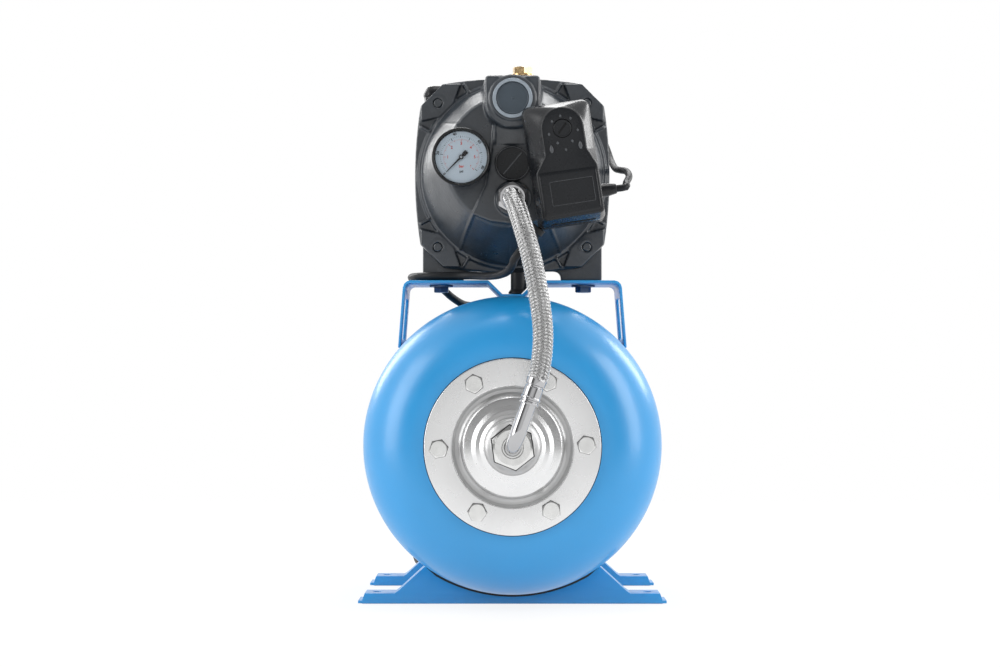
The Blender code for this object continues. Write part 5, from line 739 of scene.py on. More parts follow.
def make_air_valve():
    """Knurled dust cap over the rear air valve."""
    matrix = facing(at(0, TANK_LENGTH + REAR_DOME + 0.3, TANK_AXIS), AWAY)
    rings = []
    for along, base, depth in VALVE_CAP:
        radii = [base + (depth if i % 4 < 2 else 0.0) for i in range(96)]
        rings.append([spot(matrix, radius * a, radius * b, along)
                      for radius, (a, b) in zip(radii, loop_circle(1.0, 96))])
    source = bmesh.new()
    add_loft(source, rings)
    make_piece("valve_cap_shown", source, "plastic", sharp=20.0)
    dress("brass", "air_valve")
    dress("rubber", "tank_bladder")


def make_platform_bolts():
    """Screws that hold the pump on its platform, seen from below."""
    for side, name in ((-1, "left"), (1, "right")):
        matrix = facing(at(side * 66.5, 75.0, PLATFORM_TOP - 2.5), (0, 0, -1), 12.0 + 9.0 * side)
        source = bmesh.new()
        add_turned(source, softened([(0.3, 4.0), (0.3, 11.1), (1.8, 11.1), (1.9, 4.0)], 0.25, 2), 56, matrix)
        add_hex_head(source, matrix, 13.0, 5.2, 1.9)
        add_turned(source, [(-15.0, 0.0), (-15.0, 3.9), (1.0, 3.9)], 24, matrix)
        make_piece(f"platform_bolt_{name}_shown", source, "dark_bolt", sharp=24.0)


def make_feet_and_platform():
    """Folded sheet feet and platform."""
    refined("foot_front", "blue", 0.55)
    refined("foot_rear", "blue", 0.55)
    refined("pump_platform", "blue", 0.5)


# Cords

MAINS_EXIT = (22.5, -58.5, 339.0)
MAINS_HEADING = (-0.62, 0.12, -0.77)
MAINS_RELIEF = 22.0
MAINS_ROUTE = [
    (0.3, -50.0, 308.6), (-4.0, -39.5, 302.8), (-11.0, -24.0, 300.4), (-19.0, -7.0, 300.0),
    (-27.5, 10.0, 300.6), (-38.0, 25.0, 301.6), (-50.0, 32.5, 301.8), (-64.0, 35.0, 301.8),
    (-79.0, 40.0, 301.8),
    (-89.5, 51.0, 301.8), (-94.0, 66.0, 301.8), (-94.0, 85.0, 301.8), (-93.0, 105.0, 301.8),
    (-88.5, 122.0, 302.0), (-80.0, 137.0, 301.2), (-69.0, 151.0, 295.5), (-59.0, 166.0, 287.0),
    (-49.0, 183.0, 281.0), (-41.0, 205.0, 280.0), (-35.0, 235.0, 281.7), (-31.0, 270.0, 282.6),
    (-30.0, 300.0, 282.9), (-30.0, 320.0, 278.0), (-30.0, 340.0, 261.0), (-30.0, 355.0, 233.0),
    (-30.0, 364.0, 200.0), (-30.0, 369.0, 155.0), (-31.5, 368.0, 120.0), (-37.0, 362.0, 87.0),
    (-46.5, 354.5, 57.5), (-50.0, 358.0, 40.9), (-52.0, 369.0, 29.9), (-50.7, 384.0, 25.9),
]
COIL_X = -12.0
COIL_PLACE = 374.0
COIL_RADIUS = 40.0
COIL_START_DEG = 146.7
COIL_END_DEG = -130.0 - 720.0
COIL_TOP = 25.9
COIL_LOW = 3.95
COIL_LEAVES = 48.1
COIL_STEPS = 110
MAINS_TAIL = [
    (-52.0, 344.5, 6.0), (-61.0, 352.5, 12.0), (-67.5, 360.5, 17.2), (-71.0, 368.0, 18.7),
    (-73.5, 374.5, 18.7),
]
SWITCH_LEAD_ROUTE = [
    (100.5, -50.0, 380.0), (103.8, -36.0, 386.5), (104.0, -20.0, 391.5), (102.5, 0.0, 395.5),
    (99.0, 30.0, 399.0), (96.0, 60.0, 403.5), (93.5, 90.0, 413.5), (88.0, 118.0, 434.0),
    (76.0, 143.0, 455.0), (60.0, 158.0, 465.5),
]
SWITCH_GLAND = (40.0, -58.5, -25.0)
TERMINAL_GLAND = (36.6, 162.0, 468.0)
HOSE_ROUTE = [
    (25.0, 0.0, 226.0), (26.0, 0.0, 245.0), (24.3, 0.0, 266.0), (20.0, 0.0, 292.0),
    (15.7, 1.0, 313.6), (10.5, 5.0, 333.0), (5.0, 14.0, 351.0), (1.0, 28.0, 363.5),
]


def coil_points():
    """Turns that wind down clockwise, each a lead's thickness below the last, and then swing out."""
    points = []
    for i in range(1, COIL_STEPS + 1):
        share = i / COIL_STEPS
        angle = math.radians(COIL_START_DEG + (COIL_END_DEG - COIL_START_DEG) * share)
        swing = max(0.0, (share - 0.93) / 0.07)
        radius = COIL_RADIUS + (COIL_LEAVES - COIL_RADIUS) * swing * swing
        level = COIL_TOP + (COIL_LOW - COIL_TOP) * min(1.0, share / 0.97)
        points.append((COIL_X + radius * math.cos(angle), COIL_PLACE + radius * math.sin(angle), level))
    return points


def cord_curve(name, points, radius, stands_for=None):
    """Round flexible lead as one open poly spline through the world points."""
    curve = bpy.data.curves.new(name, "CURVE")
    curve.dimensions = "3D"
    curve.bevel_depth = radius * MM
    curve.bevel_resolution = 8
    curve.use_fill_caps = True
    spline = curve.splines.new("POLY")
    spline.points.add(len(points) - 1)
    for knot, point in zip(spline.points, points):
        knot.co = (*point, 1.0)
    spline.use_smooth = True
    curve.materials.append(FINISH["rubber"])
    return declare(add_object(name, curve), "rubber", "set", stands_for)


def make_relief(point, heading):
    """Tapered bend relief with the grooves that let it flex."""
    profile = [(-1.5, 3.9), (-1.5, 6.4), (3.6, 6.6), (4.6, 5.7)]
    for k in range(5):
        start = 5.4 + 2.9 * k
        size = 5.5 - 0.22 * k
        profile += [(start, size), (start + 1.7, size), (start + 1.9, size - 0.8), (start + 2.7, size - 0.8)]
    profile += [(20.4, 4.3), (MAINS_RELIEF, 4.15), (MAINS_RELIEF, 3.7)]
    return turned_piece("mains_relief_shown", profile, 64, point, heading, "rubber", soft=0.2)


def make_plug(point, heading):
    """Moulded two-pin plug: grip ridges, shoulder and rounded pins."""
    profile = [(0.3, 3.7), (0.3, 4.6), (14.0, 6.6), (14.3, 10.5), (15.4, 12.6), (17.5, 14.6), (20.0, 15.6)]
    for k in range(4):
        start = 21.5 + 3.0 * k
        grow = 0.3 * k
        profile += [(start, 16.1 + grow), (start + 1.5, 16.2 + grow), (start + 1.8, 15.3 + grow),
                    (start + 2.6, 15.3 + grow)]
    profile += [(35.0, 18.3), (46.0, 18.3), (46.3, 17.2), (46.3, 0.0)]
    plug = turned_piece("mains_plug_shown", profile, 96, point, heading, "rubber", soft=0.5)
    source = bmesh.new()
    for side in (-1, 1):
        pin = facing(point, heading) @ Matrix.Translation(Vector((side * 9.5, 0.0, 0.0)) * MM)
        outline = [(45.0, 0.0), (45.0, 2.4), (62.0, 2.4), (64.0, 1.9), (65.2, 0.9), (65.3, 0.0)]
        add_turned(source, softened(outline, 0.4, 2), 32, pin)
    return plug, make_piece("mains_plug_pins", source, "pin")


def make_mains_lead():
    """Mains lead with its relief, coil and plug, as one cord."""
    start = at(*MAINS_EXIT)
    heading = Vector(MAINS_HEADING).normalized()
    lead_in = start + heading * (MAINS_RELIEF + 9.9) * MM
    points = smooth_path([start, lead_in] + [at(*p) for p in MAINS_ROUTE + coil_points() + MAINS_TAIL], 0.005)
    ahead = points[-1] - points[-2]
    ahead.z = 0.0
    ahead.normalize()
    lead = cord_curve("mains_lead_shown", points, MAINS_RADIUS, ("mains_lead", "mains_coil", "mains_tail"))
    relief = make_relief(start, heading)
    plug, pins = make_plug(points[-1], ahead)


def switch_matrix():
    """The switch's own frame: X across, Y along the tank, Z up, turned a little on its nipple."""
    return Matrix.Translation(at(SWITCH_X, 0.0, SWITCH_HEIGHT)) @ Matrix.Rotation(
        -math.radians(SWITCH_TILT), 4, "Y")


def make_switch_lead():
    """Lead from the switch to the motor's terminal box."""
    start = spot(switch_matrix(), *SWITCH_GLAND)
    ahead = switch_matrix().to_3x3() @ Vector((1.0, 0.0, 0.0))
    end = at(*TERMINAL_GLAND)
    route = [start, start + ahead * 12.0 * MM] + [at(*p) for p in SWITCH_LEAD_ROUTE]
    route += [end + Vector((8.0, 0.0, 0.0)) * MM, end - Vector((3.0, 0.0, 0.0)) * MM]
    points = smooth_path(route, 0.004)
    lead = cord_curve("switch_lead_shown", points, LEAD_RADIUS)


# Hose set

ELBOW_TUBE = 7.0
ELBOW_BEND = 17.5
ELBOW_LEAN = 19.5
ELBOW_REACH = 40.0
ELBOW_NUT = 34.0
ELBOW_NUT_DEPTH = 8.5
ELBOW_STEPS = 24
HUB_FRONT = FLANGE_FRONT - 18.0
FERRULE_LENGTH = 24.0
FERRULE = [
    (0.3, 6.0), (0.3, 8.2), (1.0, 8.9), (2.4, 8.9), (3.0, 8.0), (4.2, 8.0), (4.8, 9.1), (6.4, 9.1),
    (7.0, 8.4),
    (15.4, 8.4), (16.0, 7.6), (17.4, 7.6), (18.0, 8.8), (FERRULE_LENGTH - 0.8, 8.8), (FERRULE_LENGTH, 8.3),
    (FERRULE_LENGTH, 7.9),
]
HOSE_NUT = 24.5
HOSE_NUT_DEPTH = 11.0
BRAID_CARRIERS = 14
BRAID_WIRES = 3
BRAID_WIRE_RADIUS = 0.27
BRAID_SPREAD = 0.60
BRAID_PITCH = 42.0
BRAID_RADIUS = 8.25
BRAID_WEAVE = 0.46
HOSE_CORE_RADIUS = 7.7


def elbow_points():
    """Centre line of the elbow, its end and the direction it leaves in."""
    lean = math.radians(ELBOW_LEAN)
    up = Vector((math.sin(lean), 0.0, math.cos(lean)))
    centre = at(0.0, HOSE_PLANE + ELBOW_BEND, TANK_AXIS) + up * ELBOW_BEND * MM
    points = [at(0.0, HUB_FRONT + 4.0, TANK_AXIS), at(0.0, HUB_FRONT - ELBOW_NUT_DEPTH, TANK_AXIS)]
    for step in range(1, ELBOW_STEPS + 1):
        turn = math.pi / 2 * step / ELBOW_STEPS
        offset = Vector((0.0, -math.sin(turn), 0.0)) - up * math.cos(turn)
        points.append(centre + offset * ELBOW_BEND * MM)
    end = points[-1] + up * (ELBOW_REACH - ELBOW_BEND) * MM
    points += [points[-1].lerp(end, 0.5), end + up * 2.0 * MM]
    return points, end, up


def braid_strands(path):
    """Woven wires: flat groups of wires wind both ways and pass over two and under two."""
    frames = path_frames(path)
    lengths = run_lengths(path)
    rate = 2 * math.pi / BRAID_PITCH
    source = bmesh.new()
    group = 2 * math.pi / BRAID_CARRIERS
    spacing = group * BRAID_SPREAD / (BRAID_WIRES - 1)
    for sense in (1, -1):
        for carrier in range(BRAID_CARRIERS):
            for wire in range(BRAID_WIRES):
                offset = (wire - (BRAID_WIRES - 1) / 2) * spacing
                line = []
                for (point, side, up), run in zip(frames, lengths):
                    wound = sense * rate * run / MM
                    phase = math.pi * carrier + BRAID_CARRIERS * wound / 2 - math.pi / 4
                    radius = BRAID_RADIUS + sense * BRAID_WEAVE * math.cos(phase)
                    angle = group * carrier + wound + offset
                    line.append(point + (side * math.cos(angle) + up * math.sin(angle)) * radius * MM)
                add_sweep(source, line, BRAID_WIRE_RADIUS, 5, caps=False)
    return source


def make_elbow():
    """Chrome elbow with its nut and crimped ferrule; returns where the hose starts and its direction."""
    matrix = facing(at(0.0, HUB_FRONT - 0.3, TANK_AXIS), TOWARDS_VIEWER, 8.0)
    source = bmesh.new()
    add_hex_head(source, matrix, ELBOW_NUT, ELBOW_NUT_DEPTH - 0.6, bore=9.4, crown=26.0, reach=0.93)
    collar = [(1.0, 7.3), (1.0, 9.6), (6.2, 9.6), (7.0, 8.8), (7.0, 7.3)]
    add_turned(source, softened(collar, 0.4, 2, True), 64, matrix, closed=True)
    make_piece("elbow_nut_shown", source, "bolt", sharp=24.0)
    # Painted shadow: a thin dark hexagon behind the nut, for the shade line round it
    source = bmesh.new()
    add_hex_head(source, matrix, ELBOW_NUT + 1.9, 0.5, -0.1, bore=9.4)
    make_piece("elbow_nut_seat", source, "seat")
    points, end, up = elbow_points()
    source = bmesh.new()
    add_sweep(source, smooth_path(points, 0.0012), ELBOW_TUBE, 48)
    make_piece("hose_elbow_shown", source, "chrome")
    turned_piece("hose_ferrule_shown", FERRULE, 72, end, up, "chrome", soft=0.3)
    return end + up * (FERRULE_LENGTH - 1.5) * MM, up


def make_hose_set():
    """Elbow out of the flange, braided hose and the union at the casing."""
    first, up = make_elbow()
    nut_face = PORT_FRONT - 0.3
    matrix = facing(at(0.0, nut_face, PORT_HEIGHT), TOWARDS_VIEWER)
    source = bmesh.new()
    add_hex_head(source, matrix, HOSE_NUT, HOSE_NUT_DEPTH - 0.7, bore=7.4, crown=26.0, reach=0.91)
    collar = [(9.6, 7.0), (9.6, 9.2), (10.7, 9.0), (10.7, 7.0)]
    add_turned(source, softened(collar, 0.2, 2, True), 60, matrix, closed=True)
    make_piece("hose_nut_shown", source, "chrome", sharp=24.0)

    last = at(0.0, nut_face - HOSE_NUT_DEPTH + 1.5, PORT_HEIGHT)
    route = [first, first + up * 5.0 * MM]
    route += [at(x, HOSE_PLANE + reach, z) for x, reach, z in HOSE_ROUTE]
    route += [last + Vector((0.0, -6.0, 0.0)) * MM, last]
    path = smooth_path(route, 0.0011)
    source = bmesh.new()
    add_sweep(source, path[::3] + [path[-1]], HOSE_CORE_RADIUS, 32)
    core = make_piece("hose_core", source, "core")
    braid = make_piece("braided_hose_shown", braid_strands(path), "braid", sharp=80.0)


# Casing, bracket and what is fixed to them

BELL_BASE = 87.0
BELL_STEP = 83.5
BELL_FACE_RADIUS = 58.5
BELL_FACE_RISE = 7.0
BELL_FACE_SHIFT = -1.5
BELL_STEP_PLACE = 37.0
BELL_DEPTH = BELL_STEP_PLACE - BELL_FACE
BELL_SIDES = 120
FLANGE_HALF = 85.0
FLANGE_BULGE = 5.0
FLANGE_CUT = 21.0
EAR_OUTLINE = [(84.5, 50.0), (84.5, 64.0), (64.0, 84.5), (48.0, 84.5), (54.0, 67.0), (67.0, 54.0)]
EAR_RIB_ANGLES = (28.0, 62.0)
# Angle, width and height of the ribs down the bell
BELL_RIBS = ((-125.0, 2.2, 1.1), (-58.0, 2.2, 1.1), (-90.0, 1.3, 0.6), (146.0, 1.6, 0.5))
CASTING_GRID = 0.95
BRACKET_GRID = 0.9
WEB_FRONT = BELL_FACE - 6.0
WEB_OUTLINE = [
    (-16.5, 440.0), (-19.0, 410.0), (-24.0, 380.0), (-36.0, 354.0), (-20.0, 347.5), (0.0, 345.0),
    (20.0, 347.5), (34.0, 354.0), (24.0, 380.0), (19.0, 410.0), (16.5, 440.0),
]
EAR_SCREW = (68.7, 66.5)
CASING_BOLTS = [(side * EAR_SCREW[0], PUMP_AXIS + up * EAR_SCREW[1]) for up in (1, -1) for side in (-1, 1)]
SUCTION_MARK_DEG = 50.0
SUCTION_MARK_HALF = 12.6


def bell_centre(share):
    """Centre and radius of the bell at a share of its depth."""
    radius = BELL_STEP + (BELL_FACE_RADIUS - BELL_STEP) * share ** 1.15
    return BELL_FACE_SHIFT * share, PUMP_AXIS + BELL_FACE_RISE * share, radius


def casing_flange_outline():
    """Square with bowed sides and cut corners."""
    span = FLANGE_HALF - FLANGE_CUT
    edge = []
    for step in range(13):
        a = span * (step / 6 - 1)
        edge.append((a, FLANGE_HALF + FLANGE_BULGE * (1 - (a / span) ** 2)))
    return [point for quarter in range(4)
            for point in turned_outline(edge, -90.0 * quarter, 0.0, PUMP_AXIS)]


def add_bell(source):
    """Bell from its step on the flange to its face, with its ribs."""
    rings = [(0.0, PUMP_AXIS, BELL_BASE, 44.0), (0.0, PUMP_AXIS, BELL_BASE, 37.6),
             (0.0, PUMP_AXIS, BELL_BASE - 0.8, BELL_STEP_PLACE)]
    for step in range(15):
        share = 0.96 * step / 14
        rings.append((*bell_centre(share), BELL_STEP_PLACE - BELL_DEPTH * share))
    x, z, radius = bell_centre(1.0)
    rings.append((x, z, radius - 1.4, BELL_FACE))
    add_loft(source, [upright_ring(disc_outline(x, z, radius, BELL_SIDES), place)
                      for x, z, radius, place in rings])


def add_ear(source, side, up):
    """Corner ear of the casing, the two short ribs beside it and the seat of its screw."""
    add_plate(source, [(side * a, PUMP_AXIS + up * b) for a, b in EAR_OUTLINE], (36.0, 41.0))
    for angle_deg in EAR_RIB_ANGLES:
        turn = up * (angle_deg if side > 0 else 180.0 - angle_deg)
        add_plate(source, bar_outline((0.0, PUMP_AXIS), turn, 86.0, 96.0, 1.8), (35.2, 41.0))
    add_disc(source, side * EAR_SCREW[0], PUMP_AXIS + up * EAR_SCREW[1], 7.4, 40, (35.7, 41.0))


def add_rib(source, angle_deg, width, proud):
    """Rib down the bell's cone."""
    rings = []
    for step in range(7):
        x, z, radius = bell_centre(step / 6)
        bar = bar_outline((x, z), angle_deg, radius - 4.0, radius + proud, width)
        rings.append(upright_ring(bar, BELL_STEP_PLACE - BELL_DEPTH * step / 6))
    add_loft(source, rings)


def priming_ring(radius, count, height):
    """Level circle round the priming plug."""
    return [at(PRIMING_X + a, PRIMING_PLACE + b, height) for a, b in loop_circle(radius, count)]


def make_casing():
    """Sand-cast casing: bell on a bowed square flange, with its web, tower, ports, ears and ribs."""
    source = bmesh.new()
    add_plate(source, casing_flange_outline(), (CASING_FRONT, CASING_BACK))
    add_bell(source)
    for side in (-1, 1):
        for up in (-1, 1):
            add_ear(source, side, up)
    for rib in BELL_RIBS:
        add_rib(source, *rib)
    add_plate(source, WEB_OUTLINE, (WEB_FRONT, BELL_FACE + 8.0))
    front = rounded_box(-23.2, 432.0, 23.2, 475.2, 21.5, 3.0)
    near = rounded_box(-24.7, 429.8, 24.7, 476.7, 22.5, 4.0)
    rear = rounded_box(-28.7, 426.0, 28.7, 476.7, 24.0, 4.0)
    add_loft(source, [upright_ring(front, TOWER_FRONT), upright_ring(near, TOWER_FRONT + 2.0),
                      upright_ring(rear, CASING_FRONT + 4.0)])
    gusset = [(TOWER_FRONT + 4.0, 438.5), (WEB_FRONT - 1.0, 416.5), (BELL_FACE, 416.5), (BELL_FACE, 444.5)]
    add_loft(source, [[at(x, place, z) for place, z in gusset] for x in (-15.5, 15.5)])
    outlet = ((-49.5, 20.0), (-48.6, 21.2), (-44.0, 21.2))
    hose = ((PORT_FRONT, 14.4), (PORT_FRONT + 1.0, 15.1), (-38.0, 15.2), (BELL_FACE + 3.0, 17.5))
    for height, count, profile in ((OUTLET_HEIGHT, 80, outlet), (PORT_HEIGHT, 72, hose)):
        add_loft(source, [upright_ring(disc_outline(0, height, radius, count), place)
                          for place, radius in profile])
    add_loft(source, [priming_ring(11.5, 48, height) for height in (474.5, 477.0)])
    for x, z in ((GAUGE_X, GAUGE_HEIGHT), (43.5, 401.5)):
        add_disc(source, x, z, 11.0, 56, (-32.4, -27.0))
    casing = plain_object("pump_casing_shown", source)

    tools = bmesh.new()
    add_disc(tools, 0.0, OUTLET_HEIGHT, 14.5, 72, (-60.0, -3.0))
    add_disc(tools, 0.0, PORT_HEIGHT, 7.5, 72, (-60.0, -10.0))
    add_disc(tools, 0.0, SUCTION_HEIGHT, 14.0, 72, (-60.0, -12.0))
    hollow = ((0.0, 0.0, 71.0, 60.0), (0.0, 0.0, 71.0, 12.0), (-1.3, 6.0, 53.0, -20.0))
    add_loft(tools, [upright_ring(disc_outline(x, PUMP_AXIS + rise, radius, 96), place)
                     for x, rise, radius, place in hollow])
    add_loft(tools, [priming_ring(6.6, 40, height) for height in (462.0, 482.0)])
    for x, z in CASING_BOLTS:
        add_disc(tools, x, z, 4.3, 32, (20.0, 60.0))
    worked(casing, [plain_object("casing_tools", tools)], grid=CASTING_GRID, smoothing=3)
    shaded(casing, "cast", 70.0)


def make_outlet():
    """Machined outlet ring in its cast rim, with the transport plug."""
    centre = at(0, TOWER_FRONT - 1.5, OUTLET_HEIGHT)
    ring = [(-0.55, 15.0), (-0.6, 15.5), (-0.6, 17.4), (-0.2, 17.8), (1.5, 17.8), (1.5, 14.6), (0.0, 14.6)]
    turned_piece("outlet_ring", ring, 120, centre, AWAY, "machined", soft=0.15, closed=True)
    rim = [(-0.2, 17.8), (-0.35, 18.3), (-0.35, 19.9), (0.6, 20.7), (2.0, 20.8), (2.0, 17.8)]
    turned_piece("outlet_rim", rim, 120, centre, AWAY, "cast", soft=0.3, closed=True)
    plug = [(0.9, 0.0), (0.9, 0.9), (1.3, 1.3), (1.3, 13.2), (1.0, 13.5), (1.0, 14.2), (1.6, 14.5),
            (9.9, 14.4), (9.9, 0.0)]
    turned_piece("outlet_plug_shown", plug, 96, centre, AWAY, "cap", soft=0.2)


def make_suction_plug():
    """Screwed suction plug with its slanted mark and the edge of its rim, both painted lighter as highlight.
    """
    centre = at(0, WEB_FRONT - 0.3, SUCTION_HEIGHT)
    profile = [(9.0, 0.0), (9.0, 13.6), (0.0, 13.6), (0.0, 15.8), (-2.9, 15.8), (-3.6, 15.1), (-3.6, 14.2),
               (-3.0, 13.7), (-3.0, 0.0)]
    source = bmesh.new()
    add_turned(source, softened(profile, 0.3, 2), 96, facing(centre, AWAY))
    make_piece("suction_plug_shown", source, "plastic")
    turn = Matrix.Translation(centre) @ Matrix.Rotation(-math.radians(SUCTION_MARK_DEG), 4, "Y")
    half = SUCTION_MARK_HALF
    bar = [(-half, -0.55), (half, -0.55), (half, 0.55), (-half, 0.55)]
    source = bmesh.new()
    add_loft(source, [[spot(turn, a, along, b) for a, b in bar] for along in (-3.45, -2.5)])
    edge = [(-3.5, 14.45), (-3.75, 14.6), (-3.75, 15.0), (-3.5, 15.15)]
    add_turned(source, edge, 96, facing(centre, AWAY), closed=True)
    make_piece("suction_plug_edge", source, "mark")


def make_casing_bolts():
    """Hexagon screws that clamp the casing to the bracket, seen from behind."""
    for k, (x, z) in enumerate(CASING_BOLTS, start=1):
        matrix = facing(at(x, 62.6, z), AWAY, 11.0 + 23.0 * k)
        source = bmesh.new()
        add_hex_head(source, matrix, 13.0, 5.2, 0.05)
        add_turned(source, [(-26.8, 0.0), (-26.8, 3.1), (-26.2, 3.9), (0.3, 3.9)], 32, matrix)
        make_piece(f"casing_bolt_{k}_shown", source, "cast", sharp=24.0)


def make_priming_plug():
    """Brass hexagon plug on the casing's top; it lifts out on its own body."""
    matrix = facing(at(PRIMING_X, PRIMING_PLACE, 477.1), (0, 0, 1), 9.0)
    source = bmesh.new()
    add_turned(source, softened([(0.3, 6.0), (0.3, 10.0), (2.4, 10.0), (2.7, 7.0)], 0.3, 2), 64, matrix)
    add_hex_head(source, matrix, 16.0, 6.2, 2.6, crown=28.0)
    thread = [(-9.2, 0.0), (-9.2, 5.2)]
    for k in range(8):
        thread += [(-8.8 + 1.1 * k, 5.5), (-8.3 + 1.1 * k, 6.1)]
    add_turned(source, thread + [(0.4, 5.6)], 40, matrix)
    make_piece("priming_plug_shown", source, "brass", body="filler", sharp=24.0)


def make_bracket():
    """Cast lantern between the casing and the motor with its mounting blocks, and the rubber stub below."""
    item = plain_object("motor_bracket_shown", solid_mesh("motor_bracket"))
    worked(item, grid=BRACKET_GRID, smoothing=3)
    shaded(item, "cast", 60.0)
    refined("support_foot", "rubber", 0.5, 32.0)


# Motor

COVER_START = 204.6
COVER_END = 270.6
COVER_BEND = COVER_END - 9.0
COVER_SLOTS = 12
LID_TOP = 488.3
BOX_LEFT_PART = -58.0
BOX_WIDER = 6.5


def make_fan_cover():
    """Pressed fan cover with its slots and its four screws."""
    wall = [(COVER_START, 66.6), (COVER_START, 68.8), (COVER_BEND, 68.8)]
    wall += arc(COVER_BEND, 59.8, 9.0, 9.0, 0, 90, 10)
    wall += [(COVER_END, 0.0), (COVER_END - 2.2, 0.0), (COVER_END - 2.2, 58.6)]
    wall += arc(COVER_BEND, 59.8, 6.8, 6.8, 90, 0, 8)
    source = bmesh.new()
    add_turned(source, wall, 144, facing(at(0, 0, PUMP_AXIS), AWAY), closed=True)
    cover = plain_object("fan_cover_shown", source)
    tools = bmesh.new()
    slot = rounded_box(16.0, -2.2, 52.0, 2.2, 2.1, 2.1, 5)
    for k in range(COVER_SLOTS):
        outline = turned_outline(slot, 360.0 * k / COVER_SLOTS, 0.0, PUMP_AXIS)
        add_plate(tools, outline, (COVER_END - 7.0, COVER_END + 4.0))
    worked(cover, [plain_object("slot_tools", tools)])
    shaded(cover, "cast", 32.0)
    screw = [(-1.0, 0.0), (-1.0, 2.8), (0.5, 2.8), (1.1, 2.0), (1.3, 0.0)]
    for side in (-1, 1):
        for up in (-1, 1):
            angle = math.radians(45.0 * up if side > 0 else 180.0 - 45.0 * up)
            outward = Vector((math.cos(angle), 0.0, math.sin(angle)))
            point = at(0, COVER_START + 5.0, PUMP_AXIS) + outward * 68.7 * MM
            turned_piece(f"cover_screw_{side}_{up}", screw, 28, point, outward, "bolt", soft=0.3)


def make_terminal_box():
    """Box and lid, both drawn out to the left as the photograph shows them, with the lid's screws."""
    for box in (refined("terminal_box", "plastic", 0.7, 30.0),
                refined("terminal_box_lid", "plastic", 0.9, 24.0, 3)):
        for vertex in box.data.vertices:
            if vertex.co.x < BOX_LEFT_PART * MM:
                vertex.co.x -= BOX_WIDER * MM
    screw = [(-1.0, 0.0), (-1.0, 2.6), (0.1, 2.6), (0.5, 1.9), (0.5, 0.0)]
    for x in (-72.0 - BOX_WIDER, 16.0):
        for place in (124.0, 196.0):
            turned_piece(f"lid_screw_{x:.0f}_{place:.0f}", screw, 28, at(x, place, LID_TOP), (0, 0, 1),
                         "bolt", soft=0.2)


def make_motor():
    """Finned frame, fan cover, terminal box, and the works inside."""
    refined("motor_frame", "cast", 0.6)
    make_fan_cover()
    dress("cast", "end_shield")
    dress("steel", "stator", "rotor_core", "motor_shaft", "bearing_front", "bearing_rear", "seal_ring")
    dress("plastic", "cooling_fan", "diffuser")
    dress("brass", "impeller")
    dress("dial", "seal_seat")
    make_terminal_box()


# Gauge

CASE = [
    (1.6, 1.6), (1.6, 22.6), (0.0, 22.7), (-1.6, 23.1), (-2.7, 23.9), (-3.35, 24.9), (-2.9, 25.7),
    (-1.9, 26.0), (1.3, 26.0), (2.6, 25.2), (3.0, 24.8), (17.0, 24.8), (19.2, 23.8), (20.0, 22.0),
    (20.0, 8.2), (22.0, 8.0), (22.0, 6.5), (37.0, 6.4), (37.0, 1.6),
]
SCALE_START_DEG = 225.0
SCALE_SWEEP_DEG = 270.0
# Step, inner reach and width of the ticks, the longest first
BLACK_TICKS = ((20, 16.3, 0.55), (10, 17.0, 0.40), (2, 17.7, 0.22))
RED_TICKS = ((10, 13.6, 0.45), (5, 14.4, 0.32), (1, 15.0, 0.20))
BLACK_FIGURES = (("20", 170.0), ("40", 106.0), ("60", 40.0), ("80", -26.0), ("0", 225.0))
RED_FIGURES = (("1", 180.0), ("2", 135.0), ("3", 90.0), ("4", 45.0), ("5", 0.0), ("6", -45.0))


def dial_text(name, words, x, z, size, finish, turn_deg=0.0):
    """Plain printed figure on the dial, from its centre, as a thin raised mesh."""
    curve = bpy.data.curves.new(name, "FONT")
    curve.body = words
    curve.size = size * MM
    curve.align_x = "CENTER"
    curve.align_y = "CENTER"
    curve.extrude = 0.02 * MM
    curve.offset = 0.10 * MM
    item = add_object(name, curve)
    graph = bpy.context.evaluated_depsgraph_get()
    mesh = bpy.data.meshes.new_from_object(item.evaluated_get(graph))
    bpy.data.objects.remove(item, do_unlink=True)
    place = Matrix.Translation(at(GAUGE_X + x, GAUGE_FACE - 0.03, GAUGE_HEIGHT + z))
    upright = Matrix.Rotation(math.radians(90), 4, "X")
    mesh.transform(place @ upright @ Matrix.Rotation(math.radians(turn_deg), 4, "Z"))
    mesh.materials.append(FINISH[finish])
    declare(add_object(name, mesh), finish)


def make_scale(name, ink, ticks, count, step_deg, outer):
    """Ring of thin radial marks just proud of the dial."""
    source = bmesh.new()
    for k in range(count):
        for every, inner, width in ticks:
            if k % every == 0:
                turn = SCALE_START_DEG - step_deg * k
                mark = bar_outline((GAUGE_X, GAUGE_HEIGHT), turn, inner, outer, width)
                add_plate(source, mark, (GAUGE_FACE - 0.05, GAUGE_FACE + 0.05))
                break
    make_piece(name, source, ink)


def make_figures():
    """Numbers of both scales and their units."""
    for words, angle_deg in BLACK_FIGURES:
        angle = math.radians(angle_deg)
        dial_text(f"black_figure_{words}", words, 20.9 * math.cos(angle), 20.9 * math.sin(angle), 3.3,
                  "black_ink", angle_deg - 90.0)
    for words, angle_deg in RED_FIGURES:
        angle = math.radians(angle_deg)
        dial_text(f"red_figure_{words}", words, 11.9 * math.cos(angle), 11.9 * math.sin(angle), 3.6,
                  "red_ink")
    dial_text("red_unit", "bar", 0.2, -8.2, 3.4, "red_ink")
    dial_text("black_unit", "psi", 0.2, -12.6, 3.0, "black_ink")


